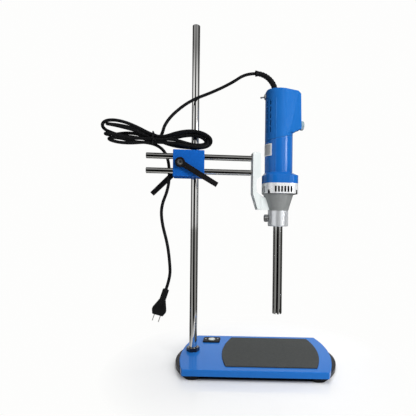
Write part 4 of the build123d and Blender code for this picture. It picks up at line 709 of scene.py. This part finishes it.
# %% Painted bracket, bright ring and inner pieces
# The bracket's lighter edge tone is a painted highlight along its edges.
bracket_white = finish(
    "bracket_paint", (0.71, 0.75, 0.74), (0.64, 0.68, 0.67), 0.4, drift_scale=25,
    grain=("skin", 1100.0, 0.4), bump=0.12, edge_tone=(0.8, 0.82, 0.81), dust=0.02, spread=0.06,
    Specular_IOR_Level=0.3)
ring_aluminium = finish(
    "ring_aluminium", (0.84, 0.85, 0.85), (0.76, 0.77, 0.77), 0.28, metallic=0.35, drift_scale=60,
    grain=("skin", 1500.0, 0.3), bump=0.08, edge_tone=(0.92, 0.92, 0.91), edge_width=0.0006, dust=0.02)
bush_bronze = finish(
    "bush_bronze", (0.45, 0.3, 0.14), (0.32, 0.2, 0.09), 0.35, metallic=1.0, drift_scale=100,
    dust=0.0)
core_steel = finish(
    "core_laminations", (0.2, 0.19, 0.18), (0.12, 0.11, 0.1), 0.45, metallic=0.9, drift_scale=60,
    grain=("lines", 1800.0, (0.02, 0.02, 1.0)), bump=0.3, dust=0.0)
bearing_polymer = finish(
    "tool_bearing_polymer", (0.62, 0.6, 0.55), (0.52, 0.5, 0.45), 0.5, drift_scale=150, dust=0.0)
# The dial's lighter edge tone is a painted highlight along its edges.
dial_clear = finish(
    "dial_plastic", (0.28, 0.35, 0.385), (0.22, 0.29, 0.32), 0.26, drift_scale=120,
    grain=("skin", 1500.0, 0.3), bump=0.08, edge_tone=(0.7, 0.75, 0.77), edge_width=0.0006, dust=0.02,
    Subsurface_Weight=0.15, Subsurface_Scale=0.003, Coat_Weight=0.4, Coat_Roughness=0.1)
label_silver = finish(
    "rating_foil", (0.50, 0.50, 0.50), (0.30, 0.31, 0.31), 0.4, metallic=0.0, drift_scale=260,
    grain=("lines", 1200.0, (1.0, 1.0, 0.1)), bump=0.08, dust=0.0)
vial_white = finish(
    "vial_face", (0.5, 0.53, 0.49), (0.42, 0.46, 0.41), 0.12, drift_scale=200, dust=0.0,
    Coat_Weight=0.8, Coat_Roughness=0.04)
dress(bracket_white, "motor_bracket")
dress(bush_bronze, "rod_bush")
dress(core_steel, "field_core")
dress(bearing_polymer, "lower_tool_bearing", "upper_tool_bearing")
dress(dial_clear, "speed_dial")
dress(vial_white, "level_vial")

# %% [markdown]
# The vent ring is bright outside, and coloured near black in its slots and bore as painted
# shade. A rounded square a millimetre inside its outline tells the two apart, measured from
# the ring's own centre.

# %% Vent ring, painted shade inside
RING_CENTRE = in_head(179.0, -22.0, 0)
RING_CORE = 0.013            # half side of the square that the corners are round about
RING_REACH = 0.0222          # from that square to the limit of the painted shade
tree = ring_aluminium.node_tree
coords = place(tree, "ShaderNodeTexCoord")
centred = place(tree, "ShaderNodeMapping", {
    "Vector": coords.outputs["Object"], "Location": RING_CENTRE, "Rotation": (0, 0, HEAD_ANGLE),
}, vector_type="TEXTURE")
folded = place(tree, "ShaderNodeVectorMath", {0: centred.outputs[0]}, operation="ABSOLUTE")
beyond = place(tree, "ShaderNodeVectorMath", {
    0: folded.outputs[0], 1: (RING_CORE, RING_CORE, 0)}, operation="SUBTRACT")
held = place(tree, "ShaderNodeVectorMath", {0: beyond.outputs[0], 1: (0, 0, 0)}, operation="MAXIMUM")
level_with = place(tree, "ShaderNodeVectorMath", {0: held.outputs[0], 1: (1, 1, 0)}, operation="MULTIPLY")
from_core = place(tree, "ShaderNodeVectorMath", {0: level_with.outputs[0]}, operation="LENGTH")
# Painted shade: within this outline the ring is coloured near black, in its slots and bore.
inside = math_node(tree, "LESS_THAN", from_core.outputs["Value"], RING_REACH)
repaint(ring_aluminium, inside, (0.012, 0.012, 0.013))
change_where(ring_aluminium, inside, "Roughness", 0.9)
dress(ring_aluminium, "vent_ring")

# %% [markdown]
# The rating plate is foil with a white border and nothing printed on it. The border is
# measured on the foil itself: by height, and by the angle about the motor's axis.

# %% Rating plate with a white border
PLATE_MIDDLE = 0.4445
PLATE_BEARING = math.radians(180 + 90 - 72) + HEAD_ANGLE
FOIL_HALF_ANGLE = math.radians(25)
FOIL_HALF_HEIGHT = 0.0108
tree = label_silver.node_tree
coords = place(tree, "ShaderNodeTexCoord")
turned_plate = place(tree, "ShaderNodeMapping", {
    "Vector": coords.outputs["Object"], "Location": (*motor_axis_foot[:2], PLATE_MIDDLE),
    "Rotation": (0, 0, PLATE_BEARING),
}, vector_type="TEXTURE")
on_plate = place(tree, "ShaderNodeSeparateXYZ", {0: turned_plate.outputs[0]})
round_axis = math_node(tree, "ARCTAN2", on_plate.outputs["Y"], on_plate.outputs["X"])
across = math_node(tree, "GREATER_THAN", math_node(tree, "ABSOLUTE", round_axis), FOIL_HALF_ANGLE)
upwards = math_node(
    tree, "GREATER_THAN", math_node(tree, "ABSOLUTE", on_plate.outputs["Z"]), FOIL_HALF_HEIGHT)
repaint(label_silver, math_node(tree, "MAXIMUM", across, upwards), (0.78, 0.79, 0.79))
dress(label_silver, "rating_plate")

# %% [markdown]
# The nose is one casting with two skins: the cone keeps its matt cast face, and the neck
# below it is turned bright to take the tool. A mask on the height of the shoulder between
# them drives colour, roughness and metal together.

# %% Cast cone with a turned neck
NECK_SHOULDER = 0.318
cone_aluminium = finish(
    "cone_aluminium", (0.29, 0.30, 0.295), (0.23, 0.24, 0.235), 0.5, metallic=0.25,
    drift_scale=60, grain=("skin", 1300.0, 0.5), bump=0.12, edge_tone=(0.55, 0.56, 0.55),
    edge_width=0.0008, dust=0.02, spread=0.06)
tree = cone_aluminium.node_tree
coords = place(tree, "ShaderNodeTexCoord")
place_on_cone = place(tree, "ShaderNodeSeparateXYZ", {0: coords.outputs["Object"]})
turned = math_node(tree, "LESS_THAN", place_on_cone.outputs["Z"], NECK_SHOULDER)
lathe = place(tree, "ShaderNodeGroup", {"Scale": 900.0, "Stretch": (0.05, 0.05, 1.0)}, node_tree=fine_lines)
bright = place(tree, "ShaderNodeMapRange", {"Value": lathe.outputs["Height"], "To Min": 0.20, "To Max": 0.30})
change_where(cone_aluminium, turned, "Roughness", bright.outputs["Result"])
change_where(cone_aluminium, turned, "Metallic", 0.6)
repaint(cone_aluminium, turned, (0.86, 0.88, 0.90))
dress(cone_aluminium, "nose_cone")
print("finishes:", len(bpy.data.materials))

# %% [markdown]
# ## Eyelet of the tool tube
# A small eyelet above the slotted head lets liquid run out of the tube. It is a short
# round boss whose face is inset and pushed in, so its rim catches the light; the bottom of
# the pushed-in face takes the dark black oxide finish as painted shade for the hole.

# %% Eyelet on the tube
EYELET_HEIGHT = 139          # mm above the bench
EYELET_RADIUS = 0.0026
EYELET_DEPTH = 0.0014
EYELET_SEAT = 0.0098         # from the tube's axis to the boss's middle
RIM_WIDTH = 0.0005
BORE_DEPTH = 0.0011
vent_way = Vector((0.75, -0.66, 0)).normalized()
vent_seat = in_head(*MOTOR_AXIS, EYELET_HEIGHT) + vent_way * EYELET_SEAT
deselect_all()
bpy.ops.mesh.primitive_cylinder_add(
    vertices=28, radius=EYELET_RADIUS, depth=EYELET_DEPTH, location=vent_seat,
    rotation=vent_way.to_track_quat("Z", "Y").to_euler())
tube_vent = bpy.context.object
tube_vent.name = "tube_vent"
bpy.ops.object.transform_apply(location=True, rotation=True, scale=True)
bpy.ops.object.mode_set(mode="EDIT")
bpy.ops.mesh.select_all(action="DESELECT")
bpy.ops.object.mode_set(mode="OBJECT")
for face in tube_vent.data.polygons:
    face.select = face.normal.dot(vent_way) > 0.9
bpy.ops.object.mode_set(mode="EDIT")
bpy.ops.mesh.select_mode(type="FACE")
bpy.ops.mesh.inset(thickness=RIM_WIDTH)
bpy.ops.mesh.extrude_region_move(TRANSFORM_OT_translate={"value": vent_way * -BORE_DEPTH})
bpy.ops.object.mode_set(mode="OBJECT")
tube_vent.data.materials.append(tool_steel)
tube_vent.data.materials.append(black_oxide_and_hole_shade)
# Painted shade: the pushed-in face is dark, standing for the inside of the hole.
for face in tube_vent.data.polygons:
    if face.select:
        face.material_index = 1
vent_bevel = tube_vent.modifiers.new("rim", "BEVEL")
vent_bevel.width = 0.00015
vent_bevel.segments = 2
bpy.ops.object.modifier_apply(modifier=vent_bevel.name)
bpy.ops.object.shade_smooth_by_angle(angle=math.radians(35))
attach(tube_vent, "motor_arm")
print("eyelet faces:", len(tube_vent.data.polygons))

# %% [markdown]
# ## Studio
# A white sweep with broad soft lamps. The lamps give the colours at about their written
# level and don't show in mirrors; the white of the background comes from what camera and
# mirror rays see. Polished rods also need something dark to show, so the room has dark
# cards behind the viewer, at the sides and beyond the sweep, and one small bright window
# on the right that draws their streak. The floor is painted near black just under the plate,
# a painted shadow between the rails.

# %% What polished metal sees in each direction
WINDOW_LEVEL = 18.0


def level_ramp(tree, value, stops):
    """Grey level against a value from -1 to 1, through the given stops."""
    ramp_node = place(tree, "ShaderNodeValToRGB", {"Fac": math_node(tree, "MULTIPLY_ADD", value, 0.5, 0.5)})
    ramp = ramp_node.color_ramp
    while len(ramp.elements) < len(stops):
        ramp.elements.new(0.5)
    for stop, (position, level) in zip(ramp.elements, stops):
        stop.position = position * 0.5 + 0.5
        stop.color = (level, level, level, 1)
    return ramp_node.outputs["Color"]


studio_cards, given, result = new_group(
    "studio_cards", [("Direction", "NodeSocketVector", (0.0, 1.0, 0.0))], [("Level", "NodeSocketFloat")])
axes = place(studio_cards, "ShaderNodeSeparateXYZ", {0: given.outputs["Direction"]})
cards = level_ramp(studio_cards, axes.outputs["Y"], [
    (-1.0, 0.0), (-0.92, 0.01), (-0.87, 1.0), (-0.33, 1.0), (-0.2, 0.02), (0.3, 0.02),
    (0.45, 0.4), (0.85, 0.4), (0.93, 0.02)])
heights = level_ramp(studio_cards, axes.outputs["Z"], [
    (-1.0, 0.45), (-0.05, 0.75), (0.0, 0.8), (0.31, 1.0), (0.40, 0.32), (1.0, 0.28)])
behind = place(studio_cards, "ShaderNodeMapRange", {
    "Value": axes.outputs["Y"], "From Min": 0.86, "From Max": 0.92})
above = level_ramp(studio_cards, axes.outputs["Z"], [(0.16, 0.0), (0.28, 1.0), (0.44, 1.0), (0.56, 0.2)])
sky = math_node(studio_cards, "MULTIPLY", behind.outputs["Result"], above)
shaped = math_node(studio_cards, "MAXIMUM", math_node(studio_cards, "MULTIPLY", cards, heights), sky)
window_y = level_ramp(studio_cards, axes.outputs["Y"], [
    (-0.58, 0.0), (-0.52, 1.0), (-0.36, 1.0), (-0.32, 0.0)])
window_z = level_ramp(studio_cards, axes.outputs["Z"], [
    (0.115, 0.0), (0.14, 1.0), (0.20, 1.0), (0.235, 0.0)])
right = math_node(studio_cards, "GREATER_THAN", axes.outputs["X"], 0.0)
pane = math_node(studio_cards, "MULTIPLY", window_y, window_z)
window = math_node(studio_cards, "MULTIPLY", pane, right)
lit = math_node(studio_cards, "MULTIPLY_ADD", window, WINDOW_LEVEL, shaped)
studio_cards.links.new(lit, result.inputs["Level"])

# %% White sweep
PAPER_WHITE = (1.0, 1.0, 0.992, 1)
PAPER_LEVEL = 0.985
FLOOR_MIDDLE = (0.13, 0.0, 0.0)
MATT_REACH, WHITE_REACH = 0.14, 0.31     # the floor turns from matt to plain white between
MIRROR_SHARE = 0.42          # of the room's level, as mirrors see it in the floor
SHADOW_INSET, SHADOW_FADE = 0.03, 0.01
bpy.ops.mesh.primitive_plane_add(size=12, location=(0, 0, 0))
sweep_floor = bpy.context.object
sweep_floor.name = "sweep_floor"
floor_white = bpy.data.materials.new("sweep_white")
floor_white.use_nodes = True
tree = floor_white.node_tree
tree.nodes.clear()
out = place(tree, "ShaderNodeOutputMaterial")
coords = place(tree, "ShaderNodeTexCoord")
offset = place(tree, "ShaderNodeVectorMath", {
    0: coords.outputs["Object"], 1: FLOOR_MIDDLE}, operation="SUBTRACT")
reach = place(tree, "ShaderNodeVectorMath", {0: offset.outputs[0]}, operation="LENGTH")
far = place(tree, "ShaderNodeMapRange", {
    "Value": reach.outputs["Value"], "From Min": MATT_REACH, "From Max": WHITE_REACH})

# Painted shadow: inside the plate's outline, short of its rounded ends, the floor's colour goes near black.
plate_low, plate_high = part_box("base_plate")
plate_half = (plate_high - plate_low) / 2
plate_centre = (plate_low + plate_high) / 2
from_plate = place(tree, "ShaderNodeVectorMath", {
    0: coords.outputs["Object"], 1: (*plate_centre[:2], 0)}, operation="SUBTRACT")
from_middle = place(tree, "ShaderNodeVectorMath", {0: from_plate.outputs[0]}, operation="ABSOLUTE")
sides = place(tree, "ShaderNodeSeparateXYZ", {0: from_middle.outputs[0]})
outside = math_node(
    tree, "MAXIMUM",
    math_node(tree, "SUBTRACT", sides.outputs["X"], plate_half.x - SHADOW_INSET),
    math_node(tree, "SUBTRACT", sides.outputs["Y"], plate_half.y))
painted_plate_shadow = place(tree, "ShaderNodeMapRange", {
    "Value": outside, "From Min": 0.0, "From Max": -SHADOW_FADE})
floor_white_and_painted_shadow = mix_colour(
    tree, painted_plate_shadow.outputs["Result"], (0.80, 0.805, 0.815, 1), (0.01, 0.01, 0.012, 1))
matt = place(tree, "ShaderNodeBsdfPrincipled", {
    "Base Color": floor_white_and_painted_shadow, "Roughness": 0.08, "Specular IOR Level": 0.4})

rays = place(tree, "ShaderNodeLightPath")
bearing = place(tree, "ShaderNodeVectorMath", {0: offset.outputs[0]}, operation="NORMALIZE")
seen_by_metal = place(tree, "ShaderNodeGroup", {"Direction": bearing.outputs[0]}, node_tree=studio_cards)
dimmed = math_node(tree, "MULTIPLY", seen_by_metal.outputs["Level"], MIRROR_SHARE)
level = place(tree, "ShaderNodeMix", {
    "Factor": rays.outputs["Is Camera Ray"], "A": dimmed, "B": PAPER_LEVEL})
glow = place(tree, "ShaderNodeEmission", {"Color": PAPER_WHITE, "Strength": level.outputs["Result"]})
seen = math_node(tree, "ADD", rays.outputs["Is Camera Ray"], rays.outputs["Is Glossy Ray"], clamp=True)
paper_share = math_node(tree, "MULTIPLY", far.outputs["Result"], seen)
white_out = place(tree, "ShaderNodeMixShader", {0: paper_share, 1: matt.outputs[0], 2: glow.outputs[0]})
tree.links.new(white_out.outputs[0], out.inputs["Surface"])
sweep_floor.data.materials.append(floor_white)

# %% The room around
AMBIENT_LEVEL = 0.15
world = bpy.data.worlds.new("studio_room")
bpy.context.scene.world = world
world.use_nodes = True
tree = world.node_tree
tree.nodes.clear()
out = place(tree, "ShaderNodeOutputWorld")
coords = place(tree, "ShaderNodeTexCoord")
seen_by_metal = place(tree, "ShaderNodeGroup", {
    "Direction": coords.outputs["Generated"]}, node_tree=studio_cards)
rays = place(tree, "ShaderNodeLightPath")
backdrop = place(tree, "ShaderNodeBackground", {"Color": PAPER_WHITE, "Strength": PAPER_LEVEL})
mirror = place(tree, "ShaderNodeBackground", {
    "Color": (0.98, 0.985, 1.0, 1), "Strength": seen_by_metal.outputs["Level"]})
ambient = place(tree, "ShaderNodeBackground", {
    "Color": (0.97, 0.985, 1.0, 1), "Strength": AMBIENT_LEVEL})
glossy_or_not = place(tree, "ShaderNodeMixShader", {
    0: rays.outputs["Is Glossy Ray"], 1: ambient.outputs[0], 2: mirror.outputs[0]})
clear = math_node(tree, "MAXIMUM", rays.outputs["Is Camera Ray"], rays.outputs["Is Transmission Ray"])
room = place(tree, "ShaderNodeMixShader", {0: clear, 1: glossy_or_not.outputs[0], 2: backdrop.outputs[0]})
tree.links.new(room.outputs[0], out.inputs["Surface"])


# %% Soft lamps
def soft_lamp(name, place_at, aim, width, height, watts):
    """An area lamp that lights the object and doesn't show in mirrors."""
    towards = Vector(aim) - Vector(place_at)
    bpy.ops.object.light_add(
        type="AREA", location=place_at, rotation=towards.to_track_quat("-Z", "Y").to_euler())
    lamp = bpy.context.object
    lamp.name = name
    lamp.data.shape = "RECTANGLE"
    lamp.data.size, lamp.data.size_y, lamp.data.energy = width, height, watts
    lamp.visible_glossy = False


soft_lamp("key_lamp", (0.94, -1.19, 1.06), (0.15, 0, 0.35), 0.7, 1.3, 12)
soft_lamp("top_lamp", (0.25, 0.1, 1.75), (0.15, 0, 0), 1.4, 1.4, 23)
soft_lamp("fill_lamp", (1.17, -1.24, 0.71), (0.16, 0, 0.42), 0.6, 0.46, 13)
soft_lamp("back_lamp", (0.3, 1.5, 0.8), (0.15, 0, 0.35), 1.2, 0.8, 12)
